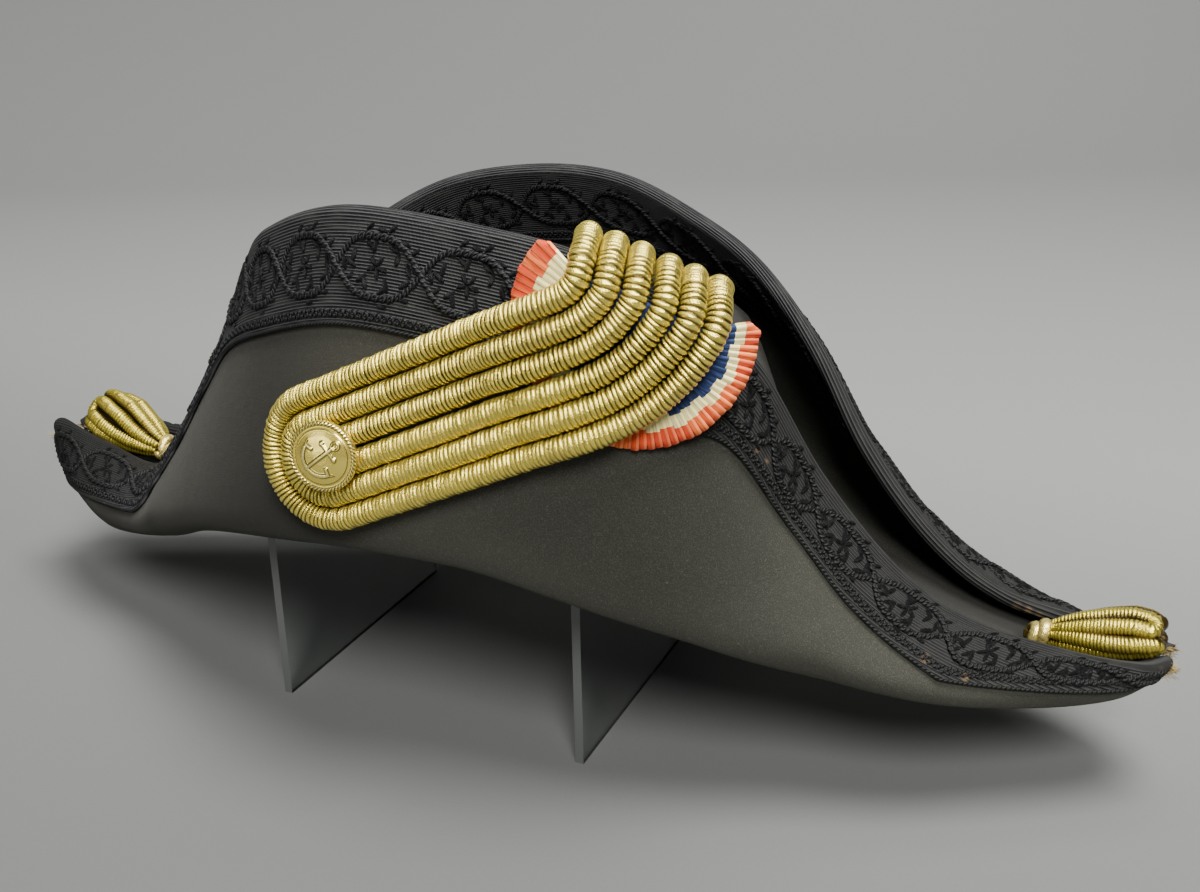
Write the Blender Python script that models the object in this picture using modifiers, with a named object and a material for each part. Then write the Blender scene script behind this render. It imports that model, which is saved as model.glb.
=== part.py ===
"""A bicorne standing on its clear riser, in metres, +Z up, near side towards -Y.

The felt is one open shell: crown, two flaps and two horns, lofted through the rows of RAILS.
Everything sewn on it is placed from the same surface.
"""

import math

import bpy
import numpy as np
from mathutils import Matrix, Vector
from mathutils.bvhtree import BVHTree

HALF_LENGTH = 0.219
HALF_WIDTH = 0.093
FLAP_TOP = 0.1875
FELT = 0.0028
GALON_WIDTH = 0.031
GALON = 0.0010
GAP = 0.0003
FOLD_RADIUS = 0.009
ROWS = 34
CENTRE_SHIFT = 0.0085

# Where the near flap starts to turn round the front of the head, and how it turns, seen from above.
TURN_X = 0.2146 * HALF_LENGTH
TURN_Y = -0.9193 * HALF_WIDTH
TURN_RADIUS = 0.8925 * HALF_WIDTH

COCKADE_RADIUS = 0.0315
COCKADE_CENTRE = (0.363 * HALF_LENGTH, 0.858 * FLAP_TOP)
COCKADE_THICKNESS = 0.0012
PLEAT_DEPTH = 0.0007
COCKADE_LIFT = 0.004
COCKADE_OVER = 0.0006
COCKADE_FULL = 0.13
COCKADE_FULL_AT = 135.0
COCKADE_FREE_OVER = 0.0065
PLEATS = 26

CORD_RADIUS = 0.00340
CORD_PITCH = 0.00750
CORD_STEP = 0.0050
INNER_STEP = 0.0042
INNER_THINNER = 0.00015
INNER_WIDER = 0.00012
LOOP_CENTRE = (-0.0776 * HALF_LENGTH, 0.616 * FLAP_TOP)
LOOP_ANGLE = 25.0
BEND_AT = 0.390 * HALF_LENGTH
BEND_RADIUS = 0.0350
BEND_WIDENS = 1.25
CURL_TUCK = 0.008
CURL_RISE = 1.25
CURL_DEEPENS = 1.18

BUTTON_CENTRE = (-0.0502 * HALF_LENGTH, 0.640 * FLAP_TOP)
BUTTON_RADIUS = 0.0104
BUTTON_TURN = (8.0, 8.0)

RISER_X = -0.0639 * HALF_LENGTH
RISER_Y = -0.0538 * HALF_WIDTH
RISER_SPAN = 0.1155
RISER_DEPTH = 0.104
RISER_PLATE = 0.0030
RISER_BEND = 0.007
RISER_CLEARANCE = 0.0006

# Lengthwise shares are of HALF_LENGTH, across of HALF_WIDTH, heights of FLAP_TOP, bands of GALON_WIDTH.
# near edge: x, y, z | near fold: x, y, z | crown: x, half width, top | far fold: x, y, z | far edge: x, y, z
# | band, bulge of the flap as a share of its height
RAILS = np.array((
    (-.974, -.065, .325, -.960, -.075, .268, -.968, .022, .268, -.960, .075, .263, -.974, .065, .325, .871, .020),
    (-.930, -.145, .372, -.880, -.237, .213, -.895, .108, .208, -.876, .215, .203, -.930, .145, .352, .871, .040),
    (-.815, -.194, .346, -.770, -.398, .219, -.778, .183, .213, -.774, .366, .208, -.802, .190, .318, .871, .060),
    (-.676, -.220, .330, -.639, -.505, .253, -.653, .258, .245, -.653, .484, .240, -.672, .237, .325, .871, .080),
    (-.545, -.242, .515, -.525, -.645, .304, -.530, .366, .331, -.539, .634, .277, -.570, .280, .450, .950, .090),
    (-.434, -.333, .705, -.416, -.785, .368, -.434, .516, .555, -.429, .774, .331, -.496, .344, .647, 1.00, .070),
    (-.348, -.478, .829, -.306, -.903, .413, -.338, .667, .715, -.320, .892, .368, -.419, .473, .765, 1.00, .060),
    (-.229, -.710, .919, -.174, -.978, .443, -.205, .753, .773, -.183, .968, .395, -.280, .602, .865, 1.00, .050),
    (-.055, -.892, .986, -.037, -1.011, .459, -.037, .785, .789, -.037, .989, .405, -.110, .645, .906, 1.00, .040),
    (.137, -.925, .978, .110, -1.011, .459, .128, .774, .784, .110, .989, .405, .046, .645, .900, 1.00, .040),
    (.290, -.892, .942, .228, -.978, .429, .256, .720, .725, .228, .957, .395, .181, .602, .845, 1.00, .060),
    (.405, -.796, .862, .320, -.925, .395, .352, .613, .600, .320, .892, .368, .304, .538, .767, .930, .080),
    (.459, -.624, .772, .402, -.839, .355, .438, .473, .440, .402, .806, .331, .416, .452, .635, .740, .110),
    (.525, -.430, .570, .475, -.753, .315, .502, .366, .300, .484, .710, .288, .516, .344, .475, .620, .130),
    (.629, -.333, .402, .575, -.634, .272, .612, .280, .261, .584, .591, .251, .624, .280, .340, .680, .120),
    (.736, -.269, .314, .703, -.516, .237, .721, .215, .235, .703, .484, .219, .734, .226, .262, .780, .090),
    (.862, -.205, .275, .835, -.333, .213, .850, .140, .208, .835, .301, .197, .862, .190, .240, .880, .060),
    (.944, -.145, .261, .925, -.190, .213, .933, .075, .213, .925, .180, .203, .944, .140, .245, .806, .040),
    (.986, -.065, .258, .974, -.075, .230, .978, .022, .230, .974, .075, .225, .986, .065, .252, .710, .020),
))
RAIL_SIZES = np.array([HALF_LENGTH, HALF_WIDTH, FLAP_TOP] * 5 + [GALON_WIDTH, 1.0])

# along the tassel, half width, half height: the twisted knot, then the fan and its rounded ends
TASSEL_LENGTH = 0.042
TASSEL_HALF_WIDTH = 0.0112
TASSEL_HALF_HEIGHT = 0.0078
TASSEL = (
    (0.00, 0.10, 0.12), (0.02, 0.30, 0.42), (0.07, 0.42, 0.62), (0.12, 0.38, 0.55), (0.14, 0.40, 0.60),
    (0.19, 0.50, 0.72), (0.24, 0.44, 0.62), (0.30, 0.60, 0.74), (0.45, 0.82, 0.92), (0.62, 0.96, 1.00),
    (0.78, 1.00, 0.98), (0.90, 0.92, 0.86), (0.97, 0.74, 0.62), (1.00, 0.42, 0.34),
)
TASSEL_SIDES, TASSEL_STRANDS, STRAND_RIDGE = 20, 7, 0.055
# name: where the fan lies, as shares of HALF_LENGTH, HALF_WIDTH and FLAP_TOP | the way it points | the way it was
# laid down | how broad it is
TASSELS = {
    "tassel_front": ((0.962, 0.000, 0.318), (1.0, 0.0, 0.084), (0.0, 0.0, -1.0), 1.00),
    "tassel_rear": ((-0.867, 0.020, 0.395), (-1.0, 0.056, 0.322), (0.0, -0.88, -0.47), 1.12),
}
TASSEL_HELD = 0.9

# from the button's middle out, then the height of its face: a dome, a cable rim and a flat back
BUTTON_PROFILE = (
    (0.00, 1.00), (0.30, 0.97), (0.55, 0.88), (0.74, 0.74), (0.82, 0.64), (0.86, 0.72), (0.93, 0.74),
    (1.00, 0.60), (1.00, 0.30), (0.94, 0.06), (0.80, 0.00), (0.00, 0.00),
)
BUTTON_HEIGHT = 0.0046


def collection(name, parent=None):
    made = bpy.data.collections.new(name)
    (parent or bpy.context.scene.collection).children.link(made)
    return made


def material(name, colour, rough, metal=0.0, clear=0.0):
    made = bpy.data.materials.new(name)
    made.use_nodes = True
    shader = made.node_tree.nodes["Principled BSDF"]
    shader.inputs["Base Color"].default_value = (*colour, 1.0)
    shader.inputs["Roughness"].default_value = rough
    shader.inputs["Metallic"].default_value = metal
    shader.inputs["Transmission Weight"].default_value = clear
    made.diffuse_color = (*colour, 1.0)
    return made


def through(knots, at):
    """A smooth curve through evenly numbered knots, read at the given numbers."""
    last = len(knots) - 1
    i = np.clip(at.astype(int), 0, last - 1)
    f = (at - i)[:, None]
    before, start, end, after = (knots[np.clip(i + k, 0, last)] for k in (-1, 0, 1, 2))
    before = np.where((i == 0)[:, None], 2 * start - end, before)
    after = np.where((i == last - 1)[:, None], 2 * end - start, after)
    return 0.5 * (
        2 * start + (end - before) * f
        + (2 * before - 5 * start + 4 * end - after) * f**2
        + (3 * start - before - 3 * end + after) * f**3
    )


def half_section(row, side):
    """Guide points from a flap's edge, round its fold and up the crown's side. side is -1 near, 1 far."""
    edge, fold = (row[0:3], row[3:6]) if side < 0 else (row[12:15], row[9:12])
    middle, half, top = row[6:9]
    wide = abs(fold[1])
    radius = min(FOLD_RADIUS, 0.30 * wide + 0.001, max(0.35 * (edge[2] - fold[2]), 0.0005))
    raised = np.clip((top - fold[2]) / 0.060, 0, 1)
    turn = fold + (0, 0, radius)
    down = turn - edge
    out = np.cross(down, (side, 0, 0))
    out *= side * np.sign(out[1]) / max(np.linalg.norm(out), 1e-9)
    swell = 0.5 * (edge + turn) + out * row[16] * np.linalg.norm(down)
    under = fold + (0, -side * 0.75 * radius, -0.25 * radius)
    floor = fold[2] - 0.25 * radius
    base = np.array((
        0.7 * fold[0] + 0.3 * middle,
        side * (max(wide - 2 * radius, 0.75 * wide) * raised + 0.62 * wide * (1 - raised)),
        floor + 1.35 * radius * raised,
    ))
    wall = np.array((
        0.3 * fold[0] + 0.7 * middle,
        side * ((0.5 * (wide - 2 * radius) + 0.5 * half + 0.004) * raised + 0.45 * wide * (1 - raised)),
        floor + (0.25 * radius + 0.55 * (top - fold[2])) * raised,
    ))
    shoulder = np.array((
        middle,
        side * (0.86 * half * raised + 0.28 * wide * (1 - raised)),
        (top - min(0.016, 0.18 * (top - fold[2]))) * raised + floor * (1 - raised),
    ))
    return [edge, swell, turn, under, base, wall, shoulder]


def section(row):
    """One section of the hat, 29 points from edge to edge. The first and last 4 carry the band."""
    crown = [np.array((row[6], 0, row[8]))]
    guides = np.array(half_section(row, -1) + crown + half_section(row, 1)[::-1])
    steps = 14
    dense = through(guides, np.linspace(0, len(guides) - 1, (len(guides) - 1) * steps + 1))
    run = np.r_[0, np.cumsum(np.linalg.norm(np.diff(dense, axis=0), axis=1))]
    places = []
    for marks in (run[::steps], run[-1] - run[::-1][::steps]):
        band = min(row[15], 0.92 * marks[2])
        half = [0, band / 3, 2 * band / 3, band, (band + marks[2]) / 2, marks[2]]
        for k in range(2, 6):
            half += [(marks[k] + marks[k + 1]) / 2, marks[k + 1]]
        places.append(np.array(half))
    at = np.r_[places[0], run[::steps][7], (run[-1] - places[1])[::-1]]
    return np.stack([np.interp(at, run, dense[:, k]) for k in range(3)], axis=1)


def hat_surface():
    """The felt's middle surface as a grid of points, and its normals, which point out of the hat."""
    rows = through(RAILS * RAIL_SIZES, np.linspace(0, len(RAILS) - 1, ROWS))
    points = np.stack([section(row) for row in rows])
    points[:, :, 1] += CENTRE_SHIFT
    normals = np.cross(np.gradient(points, axis=1), np.gradient(points, axis=0))
    return points, normals / np.linalg.norm(normals, axis=2, keepdims=True)


def add_mesh(name, points, faces, group, finish):
    mesh = bpy.data.meshes.new(name)
    mesh.from_pydata([tuple(map(float, p)) for p in points], [], faces)
    mesh.validate()
    made = bpy.data.objects.new(name, mesh)
    mesh.materials.append(finish)
    group.objects.link(made)
    return made


def grid_faces(rows, columns, wrap=False, kinds=None):
    """The quads of a grid, or where kinds is given their triangles. A kind says how its quad is split."""
    faces = []
    for i in range(rows - 1):
        for j in range(columns if wrap else columns - 1):
            k = (j + 1) % columns
            quad = (i * columns + j, (i + 1) * columns + j, (i + 1) * columns + k, i * columns + k)
            if kinds is None:
                faces.append(quad)
            elif kinds[i][j]:
                faces += [(quad[0], quad[1], quad[2]), (quad[0], quad[2], quad[3])]
            else:
                faces += [(quad[1], quad[2], quad[3]), (quad[0], quad[1], quad[3])]
    return faces


def split(row, cell):
    """How the quad this many cells in from a flap's edge is split; the felt and the band share it."""
    return (row + cell) % 2 == 0


def shell(name, grid, thickness, group, finish, kinds=None):
    """An open grid of points given a wall by Solidify, half to each side."""
    rows, columns = grid.shape[:2]
    made = add_mesh(name, grid.reshape(-1, 3), grid_faces(rows, columns, kinds=kinds), group, finish)
    wall = made.modifiers.new("wall", "SOLIDIFY")
    wall.thickness = thickness
    wall.offset = 0
    wall.use_even_offset = False
    return made


def closed_loft(name, rings, group, finish):
    """Rings of equal count joined in order, with a fan over each end."""
    count, sides = len(rings), len(rings[0])
    points = [p for ring in rings for p in ring]
    faces = grid_faces(count, sides, wrap=True)
    for ring, flip in ((0, False), (count - 1, True)):
        points.append(np.mean(rings[ring], axis=0))
        for j in range(sides):
            a, b = ring * sides + j, ring * sides + (j + 1) % sides
            faces.append((len(points) - 1, b, a) if flip else (len(points) - 1, a, b))
    made = add_mesh(name, points, faces, group, finish)
    face_out(made)
    return made


def face_out(thing):
    """Turns the faces over when the enclosed volume comes out negative."""
    mesh = thing.data
    mesh.calc_loop_triangles()
    corners = np.array([[mesh.vertices[v].co for v in t.vertices] for t in mesh.loop_triangles])
    if np.einsum("ij,ij->i", corners[:, 0], np.cross(corners[:, 1], corners[:, 2])).sum() < 0:
        mesh.flip_normals()


def galon(name, points, normals, group, finish):
    """The binding of one flap: a band on the outer face, round the edge and down the inner face."""
    off = FELT / 2 + GAP + GALON / 2
    outer = [points[:, k] + normals[:, k] * off for k in (3, 2, 1, 0)]
    inner = [points[:, k] - normals[:, k] * off for k in (0, 1, 2, 3)]
    beyond = points[:, 0] - points[:, 1]
    beyond /= np.linalg.norm(beyond, axis=1, keepdims=True)
    corner = 0.72 * off
    rim = [
        points[:, 0] + beyond * corner + normals[:, 0] * corner,
        points[:, 0] + beyond * off * 1.05,
        points[:, 0] + beyond * corner - normals[:, 0] * corner,
    ]
    cells = [(2 - j, True) for j in range(3)] + [(j, False) for j in range(4)] + [(j, False) for j in range(3)]
    kinds = [[split(i, cell) != mirrored for cell, mirrored in cells] for i in range(ROWS - 1)]
    return shell(name, np.stack(outer + rim + inner, axis=1), GALON, group, finish, kinds)


def laid_flat(places):
    """Places of the near flap with its turn round the head taken out: distance along it, y, height."""
    x, y, z = np.array(places, float).T
    centre = TURN_Y + TURN_RADIUS
    past = x > TURN_X
    angle = np.arctan2(x - TURN_X, centre - y)
    flat = np.where(past, TURN_X + TURN_RADIUS * angle, x)
    return np.stack((flat, np.where(past, centre - np.hypot(x - TURN_X, centre - y), y), z), axis=1)


def turned_back(places):
    """The opposite of laid_flat."""
    flat, y, z = np.array(places, float).T
    centre = TURN_Y + TURN_RADIUS
    past = flat > TURN_X
    angle = (flat - TURN_X) / TURN_RADIUS
    x = np.where(past, TURN_X + (centre - y) * np.sin(angle), flat)
    return np.stack((x, np.where(past, centre - (centre - y) * np.cos(angle), y), z), axis=1)


def tree_of(things, flat=True):
    """What a ray can hit: the evaluated faces of these objects, as they are or laid flat."""
    graph = bpy.context.evaluated_depsgraph_get()
    corners, faces = [], []
    for thing in things:
        mesh = thing.evaluated_get(graph).to_mesh()
        base = len(corners)
        corners += [tuple(v.co) for v in mesh.vertices]
        faces += [[base + v for v in p.vertices] for p in mesh.polygons]
    return BVHTree.FromPolygons([tuple(p) for p in laid_flat(corners)] if flat else corners, faces)


def front(tree, x, z, otherwise):
    """How near the surface comes, as its y, at this place of the flap laid flat."""
    struck = tree.ray_cast(Vector((x, -0.3, z)), Vector((0, 1, 0)))[0]
    return struck.y if struck else otherwise


def edge_at(rail, x):
    """The near flap's edge, laid flat, where it passes x."""
    return np.array([np.interp(x, rail[:, 0], rail[:, k]) for k in range(3)])


def crest(rail, x):
    """The height that a cord has to clear where it passes over the edge."""
    return max(edge_at(rail, x + shift)[2] for shift in (-CORD_RADIUS, 0, CORD_RADIUS))


def cockade_back(tree, rail):
    """The cockade's y along its width: clear of the band, and lifting towards the front."""
    xs = np.linspace(-1, 1, 25) * COCKADE_RADIUS + COCKADE_CENTRE[0]
    near = []
    for x in xs:
        rise = math.sqrt(max(COCKADE_RADIUS**2 - (x - COCKADE_CENTRE[0]) ** 2, 0))
        top = min(COCKADE_CENTRE[1] + rise, edge_at(rail, x)[2])
        near.append(min(front(tree, x, z, 0.0) for z in np.linspace(COCKADE_CENTRE[1] - rise, top, 15)))
    near = np.array(near)
    for _ in range(2):
        near = np.array([near[max(0, k - 2): k + 3].min() for k in range(len(xs))])
        near = np.array([near[max(0, k - 2): k + 3].mean() for k in range(len(xs))])
    lift = COCKADE_LIFT * np.clip((xs - COCKADE_CENTRE[0]) / COCKADE_RADIUS, 0, 1) ** 2
    return xs, near - lift - GAP - 0.5 * COCKADE_THICKNESS - PLEAT_DEPTH


def cockade_reach(rail, angle):
    """How far the disc reaches from its middle: fuller at its upper rear, cut off under the cords."""
    full = max(math.cos(angle - math.radians(COCKADE_FULL_AT)), 0.0) ** 2
    reach = COCKADE_RADIUS * (1 + COCKADE_FULL * full)
    under = (BEND_AT - 3.3 * CORD_PITCH - CORD_RADIUS, BEND_AT + 2.6 * CORD_PITCH + CORD_RADIUS)
    while True:
        x = COCKADE_CENTRE[0] + reach * math.cos(angle)
        over = COCKADE_OVER if under[0] < x < under[1] else COCKADE_FREE_OVER
        if COCKADE_CENTRE[1] + reach * math.sin(angle) <= over + edge_at(rail, x)[2]:
            return reach
        reach -= 0.0002


def cockade(tree, rail, group, finish):
    """A pleated ribbon disc, cut off along the flap's edge."""
    xs, back = cockade_back(tree, rail)
    shares = (0.25, 0.62, 1.0)
    grid = [[] for _ in shares]
    for k in range(2 * PLEATS):
        angle = math.pi * k / PLEATS
        reach = cockade_reach(rail, angle)
        for ring, share in zip(grid, shares):
            x = COCKADE_CENTRE[0] + share * reach * math.cos(angle)
            z = COCKADE_CENTRE[1] + share * reach * math.sin(angle)
            pleat = PLEAT_DEPTH * share * (1 if k % 2 else -1)
            ring.append((x, np.interp(x, xs, back) + pleat, z))
    faces = grid_faces(len(shares), 2 * PLEATS, wrap=True)
    flat = [p for ring in grid for p in ring]
    flat.append((COCKADE_CENTRE[0], np.interp(COCKADE_CENTRE[0], xs, back), COCKADE_CENTRE[1]))
    middle = len(flat) - 1
    faces += [(middle, k, (k + 1) % (2 * PLEATS)) for k in range(2 * PLEATS)]
    made = add_mesh("cockade", turned_back(flat), faces, group, finish)
    wall = made.modifiers.new("wall", "SOLIDIFY")
    wall.thickness = COCKADE_THICKNESS
    wall.offset = 0
    return made


def strand(rail, offset):
    """One strand from the loop's end to the flap's edge, laid flat. offset is across the strands."""
    tilt = math.radians(LOOP_ANGLE)
    along = np.array((math.cos(tilt), math.sin(tilt)))
    start = np.array(LOOP_CENTRE) + np.array((-along[1], along[0])) * offset
    turn = math.pi / 2 - tilt
    radius = BEND_RADIUS - BEND_WIDENS * offset
    upright = BEND_AT - offset
    corner = (upright - start[0]) / along[0]
    straight = corner - radius * math.tan(turn / 2)
    pivot = np.array((upright - radius, start[1] + corner * along[1] + radius * math.tan(turn / 2)))
    path = [start + along * t for t in np.linspace(0, straight, 22)]
    for angle in np.linspace(-turn, 0, 15)[1:]:
        path.append(pivot + radius * np.array((math.cos(angle), math.sin(angle))))
    path += [path[-1] + np.array((0, 0.002 * k)) for k in range(1, 12)]
    path = even(np.array(path), 0.001)
    below = [z < crest(rail, x) + COCKADE_OVER for x, z in path]
    return path[: int(np.argmin(below))]


def even(path, step):
    """The same path with points the given step apart."""
    run = np.r_[0, np.cumsum(np.linalg.norm(np.diff(path, axis=0), axis=1))]
    at = np.linspace(0, run[-1], max(4, int(round(run[-1] / step)) + 1))
    return np.stack([np.interp(at, run, path[:, k]) for k in range(path.shape[1])], axis=1)


def laid_on(tree, path, radius):
    """Adds the y of a cord that lies on what is behind it, evened out along its length."""
    path = even(path, 0.0015)
    steps = np.gradient(path, axis=0)
    steps /= np.linalg.norm(steps, axis=1, keepdims=True)
    sides = np.stack((-steps[:, 1], steps[:, 0]), axis=1) * radius
    near = np.full(len(path), np.inf)
    for shift in np.linspace(-1, 1, 9):
        lift = radius * (1 - math.sqrt(1 - shift**2))
        for k, (x, z) in enumerate(path + shift * sides):
            near[k] = min(near[k], front(tree, x, z, math.inf) + lift)
    for _ in range(2):
        near = np.array([near[max(0, k - 3): k + 4].min() for k in range(len(near))])
        near = np.array([near[max(0, k - 3): k + 4].mean() for k in range(len(near))])
    return np.stack((path[:, 0], near - radius - 1.5 * GAP, path[:, 1]), axis=1)


def curl(rail, last, upright, radius):
    """Over the flap's edge and down its inner face, laid flat, from the cord's last point to upright."""
    edge = edge_at(rail, last[0])
    edge[2] = crest(rail, last[0])
    clear = FELT / 2 + GAP + GALON + GAP + radius
    turns = []
    for degrees in (25, 55, 90, 125, 155, 180):
        angle = math.radians(degrees)
        wide = edge[1] - last[1] if degrees < 90 else clear * CURL_DEEPENS
        x = last[0] + (upright - last[0]) * min(degrees / 125, 1)
        turns.append((x, edge[1] - wide * math.cos(angle), edge[2] + CURL_RISE * clear * math.sin(angle)))
    turns.append((upright, turns[-1][1], edge[2] - CURL_TUCK))
    turns = np.array(turns)
    behind = np.maximum(turns[:, 1] - TURN_Y - 0.5 * CENTRE_SHIFT, 0)
    turns[:, 0] = BEND_AT + (turns[:, 0] - BEND_AT) * TURN_RADIUS / (TURN_RADIUS - behind)
    return turns


def ganse(name, level, tree, rail, group, finish):
    """One of the three nested cords, 0 the inner: over the edge, round the button and back."""
    radius = CORD_RADIUS - (INNER_THINNER if level == 0 else 0)
    reach = (level + 0.5) * CORD_PITCH + (INNER_WIDER if level == 0 else 0)
    halves = [strand(rail, side * reach) for side in (1, -1)]
    tilt = math.radians(LOOP_ANGLE)
    arc = []
    for k in range(1, 12):
        angle = tilt + math.pi / 2 + math.pi * k / 12
        arc.append(np.array(LOOP_CENTRE) + reach * np.array((math.cos(angle), math.sin(angle))))
    laid = laid_on(tree, np.vstack((halves[0][::-1], arc, halves[1])), radius)
    first = curl(rail, laid[0], BEND_AT - reach, radius)
    last = curl(rail, laid[-1], BEND_AT + reach, radius)
    path = turned_back(np.vstack((first[::-1], laid, last)))
    path = even(path, CORD_STEP if level else INNER_STEP)
    line = bpy.data.curves.new(name, "CURVE")
    line.dimensions = "3D"
    spline = line.splines.new("POLY")
    spline.points.add(len(path) - 1)
    for point, place in zip(spline.points, path):
        point.co = (*map(float, place), 1.0)
    line.bevel_depth = radius
    line.bevel_resolution = 1
    line.use_fill_caps = True
    line.materials.append(finish)
    made = bpy.data.objects.new(name, line)
    group.objects.link(made)
    return made


def button(tree, group, finish):
    """A turned dome that leans on the cords round the loop's middle."""
    sideways, upwards = (math.radians(v) for v in BUTTON_TURN)
    facing = Matrix.Rotation(sideways, 4, "Z") @ Matrix.Rotation(math.pi / 2 - upwards, 4, "X")
    free = math.inf
    for share in (0.3, 0.6, 0.8, 0.95):
        for k in range(24):
            angle = math.pi * k / 12
            low = 0.0 if share < 0.9 else 0.06 * BUTTON_HEIGHT
            rim = facing @ Vector((
                share * BUTTON_RADIUS * math.cos(angle), share * BUTTON_RADIUS * math.sin(angle), low,
            ))
            here = front(tree, BUTTON_CENTRE[0] + rim.x, BUTTON_CENTRE[1] + rim.z, math.inf)
            free = min(free, here - rim.y)
    profile = [(r * BUTTON_RADIUS, 0.0, h * BUTTON_HEIGHT) for r, h in BUTTON_PROFILE]
    made = add_mesh("button", profile, [], group, finish)
    made.data.edges.add(len(profile) - 1)
    for k, line in enumerate(made.data.edges):
        line.vertices = (k, k + 1)
    turn = made.modifiers.new("turned", "SCREW")
    turn.axis = "Z"
    turn.steps = turn.render_steps = 22
    turn.use_merge_vertices = True
    turn.merge_threshold = 0.00002
    made.matrix_world = Matrix.Translation((BUTTON_CENTRE[0], free - GAP, BUTTON_CENTRE[1])) @ facing
    return made


def tassel(name, tree, group, finish):
    """A knotted bundle of bullion loops as one ridged body, laid in its horn."""
    held, pointing, fall, broad = TASSELS[name]
    along = np.array(pointing) / np.linalg.norm(pointing)
    across = np.cross((0, 0, 1), along)
    across /= np.linalg.norm(across)
    upward = np.cross(along, across)
    start = np.array(held) * (HALF_LENGTH, HALF_WIDTH, FLAP_TOP) + (0, CENTRE_SHIFT, 0)
    start -= along * TASSEL_LENGTH * TASSEL_HELD
    rings = []
    for share, wide, high in TASSEL:
        ridge = STRAND_RIDGE * np.clip((share - 0.24) / 0.3, 0, 1) * (1 if share < 1 else 0)
        ring = []
        for k in range(TASSEL_SIDES):
            angle = 2 * math.pi * k / TASSEL_SIDES
            swell = 1 + ridge * math.cos(TASSEL_STRANDS * angle)
            ring.append(
                start + along * share * TASSEL_LENGTH
                + across * wide * broad * TASSEL_HALF_WIDTH * swell * math.cos(angle)
                + upward * high * TASSEL_HALF_HEIGHT * swell * math.sin(angle)
            )
        rings.append(ring)
    way = Vector(fall).normalized()
    struck = [tree.ray_cast(Vector(p), way)[3] for ring in rings for p in ring]
    laid = np.array(way) * (min(d for d in struck if d is not None) - GAP)
    return closed_loft(name, [[p + laid for p in ring] for ring in rings], group, finish)


def riser(tree, group, finish):
    """A strip of clear sheet heat-bent into two legs and a top, open below, under the crown."""
    half = RISER_SPAN / 2
    line = [(-half, 0.0)]
    for corner, start in ((-1, math.pi), (1, math.pi / 2)):
        for k in range(4):
            angle = start - k * math.pi / 6
            line.append((
                corner * (half - RISER_BEND) + RISER_BEND * math.cos(angle),
                RISER_BEND * math.sin(angle) - RISER_BEND,
            ))
    line.append((half, 0.0))
    skin = 1 + RISER_PLATE / 2 / RISER_BEND
    free = math.inf
    for x, z in line[1:-1]:
        bend = math.copysign(half - RISER_BEND, x)
        outside = (bend + (x - bend) * skin, (z + RISER_BEND) * skin - RISER_BEND)
        for share in np.linspace(-0.5, 0.5, 9):
            foot = Vector((RISER_X + outside[0], RISER_Y + CENTRE_SHIFT + share * RISER_DEPTH, 0))
            free = min(free, tree.ray_cast(foot, Vector((0, 0, 1)))[0].z - outside[1])
    top = free - RISER_CLEARANCE
    grid = np.array([
        [(RISER_X + x, RISER_Y + CENTRE_SHIFT + y, z + (top if k else 0)) for k, (x, z) in enumerate(line[:-1])]
        + [(RISER_X + half, RISER_Y + CENTRE_SHIFT + y, 0.0)]
        for y in (-RISER_DEPTH / 2, RISER_DEPTH / 2)
    ])
    made = shell("riser", grid, RISER_PLATE, group, finish)
    made.modifiers["wall"].use_even_offset = True
    return made


def main():
    for thing in list(bpy.data.objects):
        bpy.data.objects.remove(thing)
    group = collection("bicorne")
    felt = material("black_felt", (0.045, 0.038, 0.033), 0.95)
    silk = material("black_galon", (0.022, 0.021, 0.024), 0.80)
    ribbon = material("tricolour_ribbon", (0.55, 0.18, 0.14), 0.75)
    bullion = material("gold_bullion", (0.52, 0.38, 0.13), 0.38, metal=1.0)
    gilt = material("gilt_brass", (0.62, 0.45, 0.17), 0.25, metal=1.0)
    acrylic = material("clear_acrylic", (0.86, 0.89, 0.89), 0.06, clear=0.9)

    points, normals = hat_surface()
    cells = points.shape[1] - 1
    kinds = [
        [split(i, j) if j < cells / 2 else not split(i, cells - 1 - j) for j in range(cells)]
        for i in range(ROWS - 1)
    ]
    body = shell("felt_body", points, FELT, group, felt, kinds)
    near = galon("galon_near", points, normals, group, silk)
    far = galon("galon_far", points[:, ::-1], normals[:, ::-1], group, silk)
    bpy.context.view_layer.update()
    rail = laid_flat(points[:, 0])
    disc = cockade(tree_of((body, near)), rail, group, ribbon)
    bpy.context.view_layer.update()
    beneath = tree_of((body, near, disc))
    names = ("ganse_inner", "ganse_middle", "ganse_outer")
    cords = [ganse(name, level, beneath, rail, group, bullion) for level, name in enumerate(names)]
    bpy.context.view_layer.update()
    button(tree_of(cords), group, gilt)
    around = tree_of((body, near, far), flat=False)
    for name in TASSELS:
        tassel(name, around, group, bullion)
    riser(around, group, acrylic)
    for thing in (body, near, far):
        face_out(thing)


if __name__ == "__main__":
    main()
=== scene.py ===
"""The looks of a bicorne on its clear riser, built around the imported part.

Metres, +Z up, the hat's near side towards -Y.
"""

import itertools
import logging
import math
from dataclasses import dataclass, field
from enum import Enum

import bpy
import numpy as np
from mathutils import Matrix, Vector
from mathutils.bvhtree import BVHTree


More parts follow.
